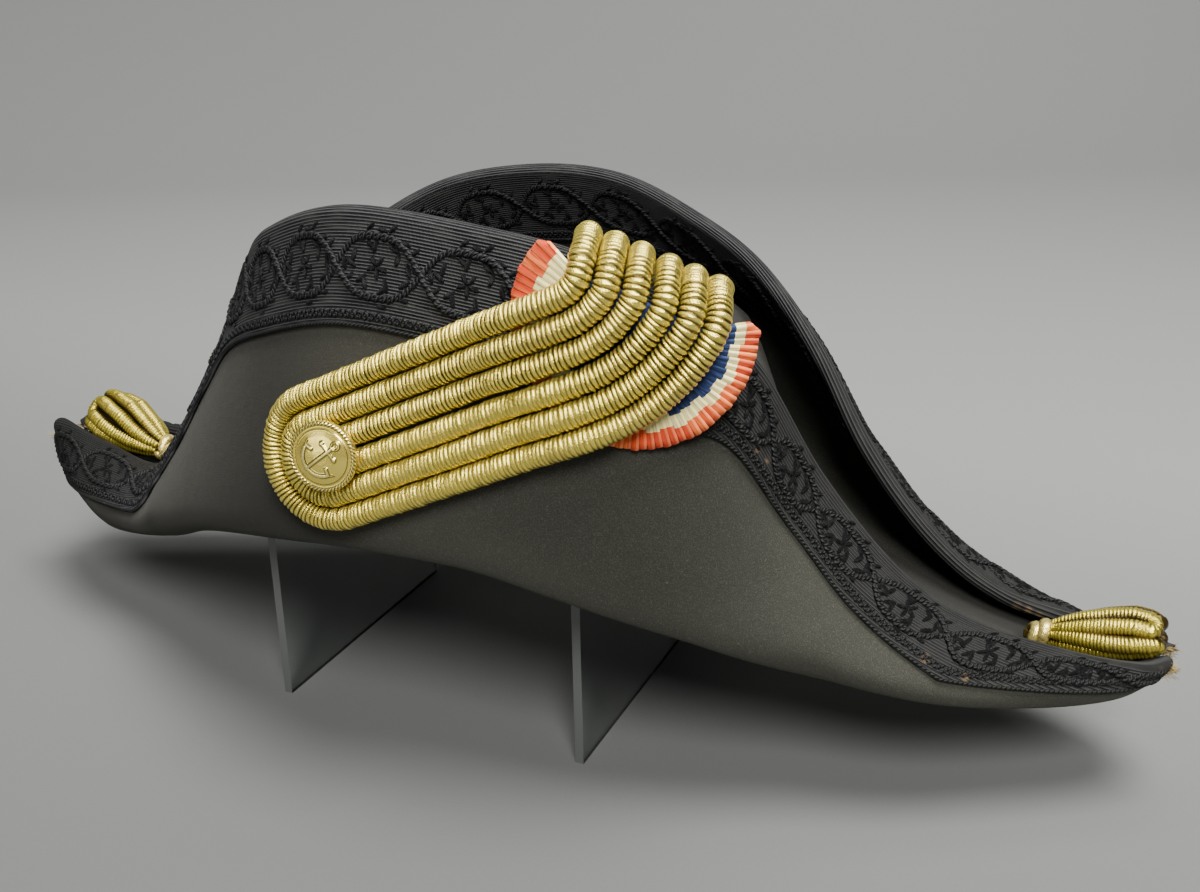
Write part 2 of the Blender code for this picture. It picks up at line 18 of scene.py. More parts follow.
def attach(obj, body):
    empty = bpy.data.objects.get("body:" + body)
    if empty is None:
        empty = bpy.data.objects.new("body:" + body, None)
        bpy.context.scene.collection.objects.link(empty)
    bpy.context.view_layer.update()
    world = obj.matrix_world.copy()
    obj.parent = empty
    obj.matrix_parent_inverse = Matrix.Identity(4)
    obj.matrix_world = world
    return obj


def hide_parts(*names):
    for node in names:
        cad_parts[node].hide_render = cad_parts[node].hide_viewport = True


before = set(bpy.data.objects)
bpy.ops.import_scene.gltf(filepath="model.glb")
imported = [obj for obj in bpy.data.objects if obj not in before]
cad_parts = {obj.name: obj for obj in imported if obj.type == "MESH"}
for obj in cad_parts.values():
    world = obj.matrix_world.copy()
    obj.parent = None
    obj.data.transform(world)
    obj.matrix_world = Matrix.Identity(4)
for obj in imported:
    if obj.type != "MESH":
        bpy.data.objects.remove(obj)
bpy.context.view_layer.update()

log = logging.getLogger("bicorne")
Array = np.ndarray
Piece = bpy.types.Object
Socket = bpy.types.NodeSocket
Triple = tuple[float, float, float]
MM = 0.001
BODY = "root"
HAT = (0.0, 0.0, 0.09)
# where the trimmings start to look worn along x, and where they are fully so
WORN_REAR = (-0.150, -0.172)
WORN_FRONT = (0.070, 0.110)
TURN = 2 * math.pi

# A row for each section of the hat, from its rear tip to its front one: near edge x, y, z, near fold x, y, z,
# crown x, half width, top, far fold x, y, z, far edge x, y, z, band, bulge of the flap. x is a share of the
# half length, y of the half width, z of the flap's top, the band of the braid's width.
RAILS = np.array((
    (-.974, -.065, .325, -.96, -.075, .268, -.968, .022, .268,
     -.96, .075, .263, -.974, .065, .325, .871, .02),
    (-.93, -.145, .372, -.88, -.237, .213, -.895, .108, .208, -.876, .215, .203, -.93, .145, .352, .871, .04),
    (-.815, -.194, .346, -.77, -.398, .219, -.778, .183, .213,
     -.774, .366, .208, -.802, .19, .318, .871, .06),
    (-.676, -.22, .33, -.639, -.505, .253, -.653, .258, .245, -.653, .484, .24, -.672, .237, .325, .871, .08),
    (-.545, -.242, .515, -.525, -.645, .304, -.53, .366, .331, -.539, .634, .277, -.57, .28, .45, .95, .09),
    (-.434, -.333, .705, -.416, -.785, .368, -.434, .516, .555, -.429, .774, .331, -.496, .344, .647, 1, .07),
    (-.348, -.478, .829, -.306, -.903, .413, -.338, .667, .715, -.32, .892, .368, -.419, .473, .765, 1, .06),
    (-.229, -.71, .919, -.174, -.978, .443, -.205, .753, .773, -.183, .968, .395, -.28, .602, .865, 1, .05),
    (-.055, -.892, .986, -.037, -1.011, .459, -.037, .785, .789, -.037, .989, .405, -.11, .645, .906, 1, .04),
    (.137, -.925, .978, .11, -1.011, .459, .128, .774, .784, .11, .989, .405, .046, .645, .9, 1, .04),
    (.29, -.892, .942, .228, -.978, .429, .256, .72, .725, .228, .957, .395, .181, .602, .845, 1, .06),
    (.405, -.796, .862, .32, -.925, .395, .352, .613, .6, .32, .892, .368, .304, .538, .767, .93, .08),
    (.459, -.624, .772, .402, -.839, .355, .438, .473, .44, .402, .806, .331, .416, .452, .635, .74, .11),
    (.525, -.43, .57, .475, -.753, .315, .502, .366, .3, .484, .71, .288, .516, .344, .475, .62, .13),
    (.629, -.333, .402, .575, -.634, .272, .612, .28, .261, .584, .591, .251, .624, .28, .34, .68, .12),
    (.736, -.269, .314, .703, -.516, .237, .721, .215, .235, .703, .484, .219, .734, .226, .262, .78, .09),
    (.862, -.205, .275, .835, -.333, .213, .85, .14, .208, .835, .301, .197, .862, .19, .24, .88, .06),
    (.944, -.145, .261, .925, -.19, .213, .933, .075, .213, .925, .18, .203, .944, .14, .245, .806, .04),
    (.986, -.065, .258, .974, -.075, .23, .978, .022, .23, .974, .075, .225, .986, .065, .252, .71, .02),
))


class Flap(Enum):
    """Which flap of the hat a piece belongs to."""

    NEAR = -1
    FAR = 1


class Face(Enum):
    """Which face of a flap a piece lies on."""

    OUTER = 1
    INNER = -1


def choose(*pieces: Piece) -> None:
    """Selects these pieces alone and makes the first one active.

    Args:
        pieces: The objects that the next operator acts on, if any.
    """
    for thing in bpy.context.selected_objects:
        thing.select_set(False)
    for piece in pieces:
        piece.select_set(True)
    if pieces:
        bpy.context.view_layer.objects.active = pieces[0]


def run_along(points: Array) -> Array:
    """How far along a line of points each one lies."""
    return np.r_[0, np.cumsum(np.linalg.norm(np.diff(points, axis=0), axis=1))]


def read_at(points: Array, run: Array, at: Array) -> Array:
    """The places at these distances along a line of points that lie at the distances of run."""
    return np.stack([np.interp(at, run, column) for column in points.T], axis=-1)


def capped(rows: Array) -> Array:
    """The same rows with the first and the last one twice."""
    return np.concatenate([rows[:1], rows, rows[-1:]])


def pointed(rows: Array) -> Array:
    """The same rows of places with one more at each end, drawn to a point."""
    first, last = (np.broadcast_to(rows[k].mean(axis=0), rows[k].shape)[None] for k in (0, -1))
    return np.concatenate([first, rows, last])


def spokes(across: Array, above: Array, turn: Array) -> Array:
    """The directions round a path at these angles, for each of its points."""
    return across[:, None] * np.cos(turn)[None, :, None] + above[:, None] * np.sin(turn)[None, :, None]


def normals_of(points: Array) -> Array:
    """The normals of a grid of points."""
    normals = np.cross(np.gradient(points, axis=1), np.gradient(points, axis=0))
    return normals / np.linalg.norm(normals, axis=2, keepdims=True)


def rotated(x: Array, y: Array, angle: float) -> tuple[Array, Array]:
    """Turns places in a plane about its middle."""
    return x * math.cos(angle) - y * math.sin(angle), x * math.sin(angle) + y * math.cos(angle)


def heading(angle: float) -> Array:
    """The direction at an angle in a plane."""
    return np.array((math.cos(angle), math.sin(angle)))


def settled(values: Array, reach: int) -> Array:
    """Lowers a row of numbers to the least of its neighbours and evens it out, twice over.

    Args:
        values: The numbers.
        reach: How many neighbours on each side count.

    Returns:
        As many numbers.
    """
    for ease in (np.min, np.mean, np.min, np.mean):
        values = np.array([ease(values[max(0, k - reach): k + reach + 1]) for k in range(len(values))])
    return values


def drifting(run: Array, random: np.random.Generator, low: float, many: int) -> Array:
    """A number from low to 1 that wanders along a run, drawn at random this many times."""
    drawn = random.uniform(low, 1, many)
    return softened(np.interp(run, np.linspace(0, run[-1], many), drawn), 9)


def part_points(node: str) -> Array:
    """The corners of a CAD node."""
    return np.array([v.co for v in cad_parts[node].data.vertices])


def even(path: Array, step: float) -> Array:
    """Spaces a path's points evenly.

    Args:
        path: Points in order, one a row.
        step: The distance wanted between them.

    Returns:
        The same line with its points about one step apart.
    """
    run = run_along(path)
    at = np.linspace(0, run[-1], max(4, int(round(run[-1] / step)) + 1))
    return read_at(path, run, at)


def through(knots: Array, at: Array) -> Array:
    """Reads a smooth curve through evenly numbered knots.

    Args:
        knots: The knots, one a row.
        at: The numbers to read the curve at.

    Returns:
        A row for each number.
    """
    last = len(knots) - 1
    i = np.clip(at.astype(int), 0, last - 1)
    f = (at - i)[:, None]
    before, start, end, after = (knots[np.clip(i + k, 0, last)] for k in (-1, 0, 1, 2))
    before = np.where((i == 0)[:, None], 2 * start - end, before)
    after = np.where((i == last - 1)[:, None], 2 * end - start, after)
    return 0.5 * (
        2 * start + (end - before) * f
        + (2 * before - 5 * start + 4 * end - after) * f**2
        + (3 * start - before - 3 * end + after) * f**3
    )


def softened(values: Array, reach: int) -> Array:
    """Evens out a path or a row of numbers.

    Args:
        values: The numbers, along the first axis.
        reach: How many neighbours on each side count.

    Returns:
        Their moving average, with both ends kept.
    """
    weights = np.hanning(2 * reach + 3)[1:-1]
    weights /= weights.sum()
    padded = np.concatenate([
        2 * values[:1] - values[1: reach + 1][::-1], values, 2 * values[-1:] - values[-reach - 1: -1][::-1],
    ])
    if padded.ndim == 1:
        return np.convolve(padded, weights, "valid")
    return np.stack([np.convolve(padded[:, k], weights, "valid") for k in range(padded.shape[1])], axis=1)


def carried_along(path: Array) -> tuple[Array, Array, Array]:
    """Works out a frame that follows a path without twisting about it.

    Args:
        path: Points in order, one a row.

    Returns:
        The path's directions, and two square directions across it.
    """
    ahead = np.gradient(path, axis=0)
    ahead /= np.linalg.norm(ahead, axis=1, keepdims=True)
    first = np.cross(ahead[0], (0, -1, 0) if abs(ahead[0][1]) < 0.9 else (0, 0, 1))
    across = np.empty_like(ahead)
    across[0] = first / np.linalg.norm(first)
    for k in range(1, len(ahead)):
        kept = across[k - 1] - ahead[k] * np.dot(across[k - 1], ahead[k])
        across[k] = kept / np.linalg.norm(kept)
    return ahead, across, np.cross(ahead, across)


def cleaned(piece: Piece, merge: bool = False, outwards: bool = True) -> None:
    """Cleans a piece's mesh and shades it smooth.

    Args:
        piece: The piece.
        merge: Whether points at one place become one.
        outwards: Whether the faces are turned outwards.
    """
    choose(piece)
    bpy.ops.object.mode_set(mode="EDIT")
    bpy.ops.mesh.select_all(action="SELECT")
    if merge:
        bpy.ops.mesh.remove_doubles(threshold=1e-7)
    if outwards:
        bpy.ops.mesh.normals_make_consistent(inside=False)
    bpy.ops.object.mode_set(mode="OBJECT")
    bpy.ops.object.shade_smooth()


def mesh_piece(name: str, corners: list, faces: list, mapped: bool = False) -> Piece:
    """Makes a closed piece from corners and faces, smooth shaded.

    Args:
        name: The piece's name.
        corners: Its corners.
        faces: The corners' numbers for each face.
        mapped: Whether it gets a map, on which every face fills the same square.

    Returns:
        The finished object.
    """
    mesh = bpy.data.meshes.new(name)
    mesh.from_pydata(corners, [], faces)
    if mapped:
        mesh.uv_layers.new(name="UVMap")
    piece = bpy.data.objects.new(name, mesh)
    bpy.context.scene.collection.objects.link(piece)
    cleaned(piece)
    return piece


def grid_piece(
    name: str, places: Array, marks: Array, rolled: bool = False, level: Array | None = None
) -> Piece:
    """Makes a piece from a grid primitive whose points are moved to their places.

    Args:
        name: The piece's name.
        places: Rows by columns by 3, where the grid's points go.
        marks: Rows by columns by 2, the piece's own map in metres.
        rolled: Whether the last column meets the first.
        level: Rows by columns, a share from 0 to 1 that the finish reads: a coil's ridges and its painted
            shade, a button's relief, or the painted shade over the crown.

    Returns:
        The finished object at the origin, smooth shaded.
    """
    rows, columns = places.shape[:2]
    choose()
    bpy.ops.mesh.primitive_grid_add(
        x_subdivisions=columns - 1, y_subdivisions=rows - 1, size=1, calc_uvs=True,
    )
    piece = bpy.context.object
    piece.name = piece.data.name = name
    mesh = piece.data
    mesh.vertices.foreach_set("co", np.ascontiguousarray(places, np.float32).ravel())
    at = np.empty(len(mesh.loops), np.int32)
    mesh.loops.foreach_get("vertex_index", at)
    mesh.uv_layers.active.data.foreach_set("uv", marks.reshape(-1, 2)[at].astype(np.float32).ravel())
    if level is not None:
        layer = mesh.attributes.new("level", "FLOAT", "POINT")
        layer.data.foreach_set("value", np.ascontiguousarray(level, np.float32).ravel())
    mesh.update()
    cleaned(piece, merge=True, outwards=rolled)
    return piece


def tube_grid(path: Array, radii: Array, sides: int) -> tuple[Array, Array]:
    """Works out a tube's points round a path, closed to a point at both ends.

    Args:
        path: The middle line, evenly spaced.
        radii: The radius for each point of the path, or for each point and side.
        sides: How many sides the tube has.

    Returns:
        The places, and the map: metres along and metres round.
    """
    _, across, above = carried_along(path)
    turn = np.linspace(0, TURN, sides + 1)
    wide = np.broadcast_to(radii[:, None] if radii.ndim == 1 else radii, (len(path), sides + 1))
    places = path[:, None] + wide[..., None] * spokes(across, above, turn)
    places = np.concatenate([
        np.repeat(path[:1, None], sides + 1, axis=1), places, np.repeat(path[-1:, None], sides + 1, axis=1),
    ])
    places[:, -1] = places[:, 0]
    round_it = turn * float(np.mean(radii))
    marks = np.stack(np.broadcast_arrays(capped(run_along(path))[:, None], round_it[None]), axis=2)
    return places, marks


def joined(name: str, pieces: list[Piece]) -> Piece:
    """Joins pieces into one object.

    Args:
        name: The name of the whole.
        pieces: The objects, the first of which keeps its materials.

    Returns:
        The joined object.
    """
    choose(*pieces)
    if len(pieces) > 1:
        bpy.ops.object.join()
    whole = bpy.context.view_layer.objects.active
    whole.name = whole.data.name = name
    return whole


def walled(piece: Piece, thickness: float) -> None:
    """Gives a sheet its wall, half of it on each side.

    Args:
        piece: The sheet.
        thickness: Its wall.
    """
    wall = piece.modifiers.new("wall", "SOLIDIFY")
    wall.thickness, wall.offset, wall.use_even_offset = thickness, 0, False
    choose(piece)
    bpy.ops.object.modifier_apply(modifier=wall.name)


def dress(piece: Piece, finish: "Finish", nodes: tuple[str, ...] = ()) -> None:
    """Gives a piece its finish and its place in the frame, and reports it.

    Args:
        piece: The finished object.
        finish: The finish to put on it.
        nodes: The CAD nodes that it stands for.
    """
    piece.data.materials.clear()
    piece.data.materials.append(finish.material())
    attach(piece, BODY)
    if nodes:
        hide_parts(*nodes)
    triangles = sum(len(face.vertices) - 2 for face in piece.data.polygons)
    log.info("%s: %d triangles, %s", piece.name, triangles, piece.data.materials[0].name)


class Recipe:
    """Builds one material's nodes, a line for each."""

    def __init__(self, name: str) -> None:
        """Starts a material with its Principled shader.

        Args:
            name: The material's name.
        """
        self.made = bpy.data.materials.new(name)
        self.made.use_nodes = True
        self.tree = self.made.node_tree
        self.shader = self.tree.nodes["Principled BSDF"]
        self.base: object = None

    def add(self, kind: str, settings: dict | None = None, **sockets: object) -> bpy.types.Node:
        """Adds one node.

        Args:
            kind: The node's type.
            settings: Its properties.
            sockets: What its inputs are set or linked to, with spaces written as underscores.

        Returns:
            The new node.
        """
        node = self.tree.nodes.new(kind)
        for key, value in (settings or {}).items():
            setattr(node, key, value)
        for key, value in sockets.items():
            self.feed(node.inputs[int(key[1:]) if key[0] == "_" else key.replace("_", " ")], value)
        return node

    def feed(self, socket: Socket, value: object) -> None:
        """Links a socket when the value is an output, and sets it otherwise.

        Args:
            socket: The input.
            value: An output, or the input's own value.
        """
        if isinstance(value, Socket):
            self.tree.links.new(value, socket)
        else:
            socket.default_value = value

    def set(self, **sockets: object) -> None:
        """Sets or links the shader's own inputs, with spaces written as underscores."""
        for key, value in sockets.items():
            self.feed(self.shader.inputs[key.replace("_", " ")], value)

    def sum(self, operation: str, a: object, b: object = 0.0, c: object = 0.0) -> Socket:
        """Does one piece of arithmetic on sockets or numbers."""
        return self.add("ShaderNodeMath", {"operation": operation}, _0=a, _1=b, _2=c).outputs[0]

    def times(self, a: object, b: object) -> Socket:
        """The product of two sockets or numbers."""
        return self.sum("MULTIPLY", a, b)

    def waves(self, along: object, length: float) -> Socket:
        """A sine wave of this length along a measure."""
        return self.sum("SINE", self.times(along, TURN / length))

    def place(self) -> Socket:
        """The point's place on the object."""
        return self.add("ShaderNodeTexCoord").outputs["Object"]

    def split(self, vector: Socket) -> list[Socket]:
        """The three numbers of a vector."""
        return list(self.add("ShaderNodeSeparateXYZ", Vector=vector).outputs)

    def marks(self) -> list[Socket]:
        """The piece's own map, split into along and across."""
        return self.split(self.add("ShaderNodeUVMap").outputs["UV"])[:2]

    def level(self) -> Socket:
        """The share that the piece keeps at each of its points."""
        return self.add("ShaderNodeAttribute", {"attribute_name": "level"}).outputs["Fac"]

    def worn(self) -> Socket:
        """1 towards the hat's two ends, where the trimming is worn, and 0 between them."""
        x = self.split(self.place())[0]
        return self.sum("ADD", self.between(x, *WORN_REAR), self.between(x, *WORN_FRONT))

    def noise(self, scale: float, detail: float, at: Socket | None = None, rough: float = 0.5) -> Socket:
        """Cloudy noise of one scale, at a place on the object unless told otherwise.

        Args:
            scale: How fine it is.
            detail: How many finer layers it has.
            at: The vector it is read at.
            rough: How strong the finer layers are.

        Returns:
            Its value.
        """
        vector = self.place() if at is None else at
        return self.add(
            "ShaderNodeTexNoise", Vector=vector, Scale=scale, Detail=detail, Roughness=rough,
        ).outputs["Fac"]

    def streaks(self, x: object, y: object, fine: tuple[float, float], detail: float) -> Socket:
        """Noise over two measures, this fine along each.

        Args:
            x: The first measure.
            y: The second.
            fine: How fine it is along each.
            detail: How many finer layers it has.

        Returns:
            Its value.
        """
        return self.noise(1.0, detail, self.add(
            "ShaderNodeCombineXYZ", X=self.times(x, fine[0]), Y=self.times(y, fine[1]), Z=0.0,
        ).outputs[0])

    def between(
        self, value: object, low: float, high: float, to_low: float = 0.0, to_high: float = 1.0
    ) -> Socket:
        """Maps a value from one range to another, held at both ends.

        Args:
            value: The value.
            low: Where the first range starts.
            high: Where it ends.
            to_low: Where the second starts.
            to_high: Where it ends.

        Returns:
            The mapped value.
        """
        node = self.add(
            "ShaderNodeMapRange", {"clamp": True, "interpolation_type": "SMOOTHSTEP"},
            Value=value, From_Min=low, From_Max=high, To_Min=to_low, To_Max=to_high,
        )
        return node.outputs["Result"]

    def blend(self, share: object, a: object, b: object, kind: str = "MIX") -> Socket:
        """Mixes two colours, each a socket or three numbers.

        Args:
            share: The share of the second.
            a: The first colour.
            b: The second.
            kind: How they are mixed.

        Returns:
            The mixed colour.
        """
        node = self.add("ShaderNodeMix", {"data_type": "RGBA", "blend_type": kind})
        self.feed(node.inputs["Factor"], share)
        for socket, value in ((node.inputs[6], a), (node.inputs[7], b)):
            self.feed(socket, value if isinstance(value, Socket) else (*value, 1.0))
        return node.outputs[2]

    def paint(self, share: object, colour: object, kind: str = "MIX") -> None:
        """Lays one more colour over the base, by this share."""
        self.base = self.blend(share, self.base, colour, kind)

    def spot(self, centre: Triple, radius: float) -> Socket:
        """A soft round patch about one place, 1 in its middle and 0 outside."""
        away = self.add("ShaderNodeVectorMath", {"operation": "DISTANCE"}, _0=self.place(), _1=centre)
        return self.between(away.outputs["Value"], radius, 0.25 * radius)

    def bump(
        self, height: Socket, distance: float, strength: float, below: Socket | None = None
    ) -> Socket:
        """Roughens the surface by a height, on top of another bump if given.

        Args:
            height: The height.
            distance: How much it is worth in metres.
            strength: How much it counts.
            below: The other bump.

        Returns:
            The new normal.
        """
        node = self.add("ShaderNodeBump", Height=height, Distance=distance, Strength=strength)
        if below is not None:
            self.feed(node.inputs["Normal"], below)
        return node.outputs["Normal"]


def toned(colour: Triple, by: float) -> Triple:
    """A colour made lighter or darker."""
    return tuple(by * c for c in colour)


@dataclass(frozen=True)
class Finish:
    """A finish that several pieces may share; its material is made once."""

    name: str

    def material(self) -> bpy.types.Material:
        """Returns the finish's material, made on first use.

        Returns:
            The material that carries the finish's name.
        """
        if self.name not in bpy.data.materials:
            self.mixed(Recipe(self.name))
        return bpy.data.materials[self.name]

    def mixed(self, mix: Recipe) -> None:
        """Writes the material's recipe.

        Args:
            mix: The recipe.
        """
        raise NotImplementedError


@dataclass(frozen=True)
class FeltFinish(Finish):
    """Brown-black felt with a short nap, a few rubbed places and dust, and painted shade towards the rear and
    over the crown.
    """

    colour: Triple = (0.0275, 0.0277, 0.0215)
    nap_tips: Triple = (0.105, 0.100, 0.080)
    dust: Triple = (0.12, 0.11, 0.10)
    # shaded and crown are the colours of painted shade: towards the rear, and over the crown
    shaded: Triple = (0.0075, 0.0075, 0.0062)
    crown: Triple = (0.011, 0.011, 0.010)

    def mixed(self, mix: Recipe) -> None:
        """Writes the felt's recipe.

        Args:
            mix: The recipe.
        """
        patches = mix.noise(14.0, 4.0)
        nap = mix.noise(2600.0, 3.0, rough=0.7)
        mix.base = mix.blend(mix.between(patches, 0.35, 0.7), self.colour, toned(self.colour, 1.35))
        mix.paint(mix.between(nap, 0.45, 0.75, 0.0, 0.55), self.nap_tips)
        mix.paint(mix.between(mix.noise(420.0, 2.0), 0.70, 0.80, 0.0, 0.5), self.dust)
        # painted shade: the felt darkens towards the rear, from x 0 to -0.055
        shade = mix.between(mix.split(mix.place())[0], 0.0, -0.055)
        mix.paint(mix.times(shade, 0.78), self.shaded)
        # painted shade over the crown, where level is 1
        mix.paint(mix.times(mix.level(), 0.85), self.crown)
        mix.set(
            Base_Color=mix.base, Roughness=0.95, Specular_IOR_Level=0.15,
            Sheen_Weight=0.12, Sheen_Roughness=0.5, Sheen_Tint=(0.53, 0.51, 0.45, 1.0),
            Normal=mix.bump(nap, 0.0005, 0.55, mix.bump(mix.noise(260.0, 3.0), 0.0006, 0.35)),
        )


@dataclass(frozen=True)
class BraidFinish(Finish):
    """Ribbed blue-black silk braid, its ribs along the flap's edge, with painted sheen on the ribs and in
    moiré streaks, and painted shade in the troughs and towards the rear.
    """

    rib: float = 0.94 * MM
    colour: Triple = (0.0135, 0.0135, 0.0136)
    tan: Triple = (0.20, 0.13, 0.065)
    rubbed: tuple[tuple[Triple, float], ...] = (
        ((0.1040, -0.0546, 0.1229), 0.0013), ((0.1061, -0.0516, 0.1191), 0.0015),
        ((0.1515, -0.0377, 0.0579), 0.0022), ((0.1629, -0.0345, 0.0523), 0.0018),
        ((0.1740, -0.0295, 0.0465), 0.0030), ((0.1690, 0.0262, 0.0465), 0.0024),
        ((0.1725, 0.0252, 0.0456), 0.0024), ((0.1760, 0.0240, 0.0448), 0.0026),
        ((0.2165, -0.0030, 0.0500), 0.0026),
    )
    # shine is the colour of the painted sheen, faded the worn ends' own colour, and shaded the colour of the
    # painted shade towards the rear
    shine: Triple = (0.060, 0.060, 0.056)
    faded: Triple = (0.0190, 0.0185, 0.0160)
    shaded: Triple = (0.004, 0.004, 0.0036)
    weft: float = 0.42 * MM

    def mixed(self, mix: Recipe) -> None:
        """Writes the braid's recipe.

        Args:
            mix: The recipe.
        """
        along, across = mix.marks()
        ribs = mix.between(mix.waves(across, self.rib), -0.7, 1.0)
        weft = mix.waves(along, self.weft)
        moire = mix.streaks(along, across, (90.0, 420.0), 3.0)
        # the ribs' crests are painted light, as painted sheen, and their troughs dark, as painted shade
        mix.base = mix.blend(ribs, toned(self.colour, 0.05), toned(self.colour, 4.6))
        # painted sheen in moiré streaks
        mix.paint(mix.between(moire, 0.4, 0.72, 0.0, 0.6), self.shine)
        worn = mix.worn()
        mix.paint(mix.times(worn, 0.58), self.faded)
        # painted shade towards the rear end
        mix.paint(mix.between(mix.split(mix.place())[0], -0.135, -0.160, 0.0, 0.60), self.shaded)
        for place, size in self.rubbed:
            mix.paint(mix.times(mix.spot(place, size), mix.between(moire, 0.35, 0.60)), self.tan)
        height = mix.sum("MULTIPLY_ADD", weft, 0.12, ribs)
        mix.set(
            Base_Color=mix.base, Roughness=mix.sum("MULTIPLY_ADD", worn, 0.3, 0.55), Specular_IOR_Level=0.24,
            Normal=mix.bump(mix.noise(1800.0, 2.0), 0.0002, 0.4, mix.bump(height, 0.0006, 1.0)),
        )


@dataclass(frozen=True)
class CordedSilkFinish(Finish):
    """Black silk cord of the raised pattern, twisted, its strands painted lighter on their crests and darker
    in their grooves, as painted highlight and shade.
    """

    twist: float = 1.5 * MM
    colour: Triple = (0.0105, 0.0105, 0.0108)
    lint: Triple = (0.060, 0.058, 0.062)
    faded: Triple = (0.0070, 0.0066, 0.0058)

    def mixed(self, mix: Recipe) -> None:
        """Writes the cord's recipe.

        Args:
            mix: The recipe.
        """
        along, across = mix.marks()
        turns = mix.sum("ADD", mix.sum("DIVIDE", along, self.twist), mix.times(across, 480.0))
        strands = mix.between(mix.waves(turns, 1.0), -1.0, 1.0)
        # painted highlight on the strands' crests and painted shade in the grooves between them
        mix.base = mix.blend(strands, toned(self.colour, 0.2), toned(self.colour, 2.2))
        mix.paint(mix.between(mix.noise(700.0, 2.0), 0.6, 0.8, 0.0, 0.5), self.lint)
        mix.paint(mix.times(mix.worn(), 0.60), self.faded)
        mix.set(
            Base_Color=mix.base, Roughness=0.6, Specular_IOR_Level=0.24,
            Normal=mix.bump(strands, 0.0004, 1.0),
        )


@dataclass(frozen=True)
class BullionFinish(Finish):
    """Gold wire thread: fine slanting wires over the coiled ridges, with painted shade where they are deep
    and on the sides that face in.
    """

    # light is the gold of the ridges; dark is the painted shade of the grooves, and the fine wires' dark
    # lines
    light: Triple = (1.00, 0.81, 0.140)
    dark: Triple = (0.060, 0.038, 0.006)
    wire: float = 0.50 * MM
    aged: Triple = (0.52, 0.40, 0.12)
    crossing: float = 0.8 * MM

    def mixed(self, mix: Recipe) -> None:
        """Writes the gold thread's recipe.

        Args:
            mix: The recipe.
        """
        along, across = mix.marks()
        slant = mix.sum("MULTIPLY_ADD", across, 0.75, along)
        hatch = mix.between(mix.waves(slant, self.wire), -1.0, 1.0)
        other = mix.sum("MULTIPLY_ADD", across, -2.2, along)
        crossed = mix.between(mix.waves(other, self.crossing), -1.0, 1.0)
        # high: the coil's ridge height times its painted shade, kept in level
        high = mix.level()
        age = mix.noise(60.0, 4.0)
        sparkle = mix.streaks(along, across, (850.0, 260.0), 1.0)
        # painted shade: low level, in the grooves and on the sides that face in, takes the dark colour
        mix.base = mix.blend(mix.between(high, 0.24, 0.80), self.dark, self.light)
        mix.paint(mix.between(hatch, 0.0, 1.0, 0.28, 0.0), self.dark)
        mix.paint(mix.between(sparkle, 0.48, 0.72, 0.0, 0.34), self.dark)
        mix.paint(mix.between(age, 0.45, 0.75, 0.0, 0.30), self.aged)
        fine = mix.sum("MULTIPLY_ADD", crossed, 0.35, hatch)
        mix.set(
            Base_Color=mix.base, Metallic=0.75, Roughness=0.25, Specular_IOR_Level=0.5,
            Normal=mix.bump(fine, 0.00008, 0.5),
        )


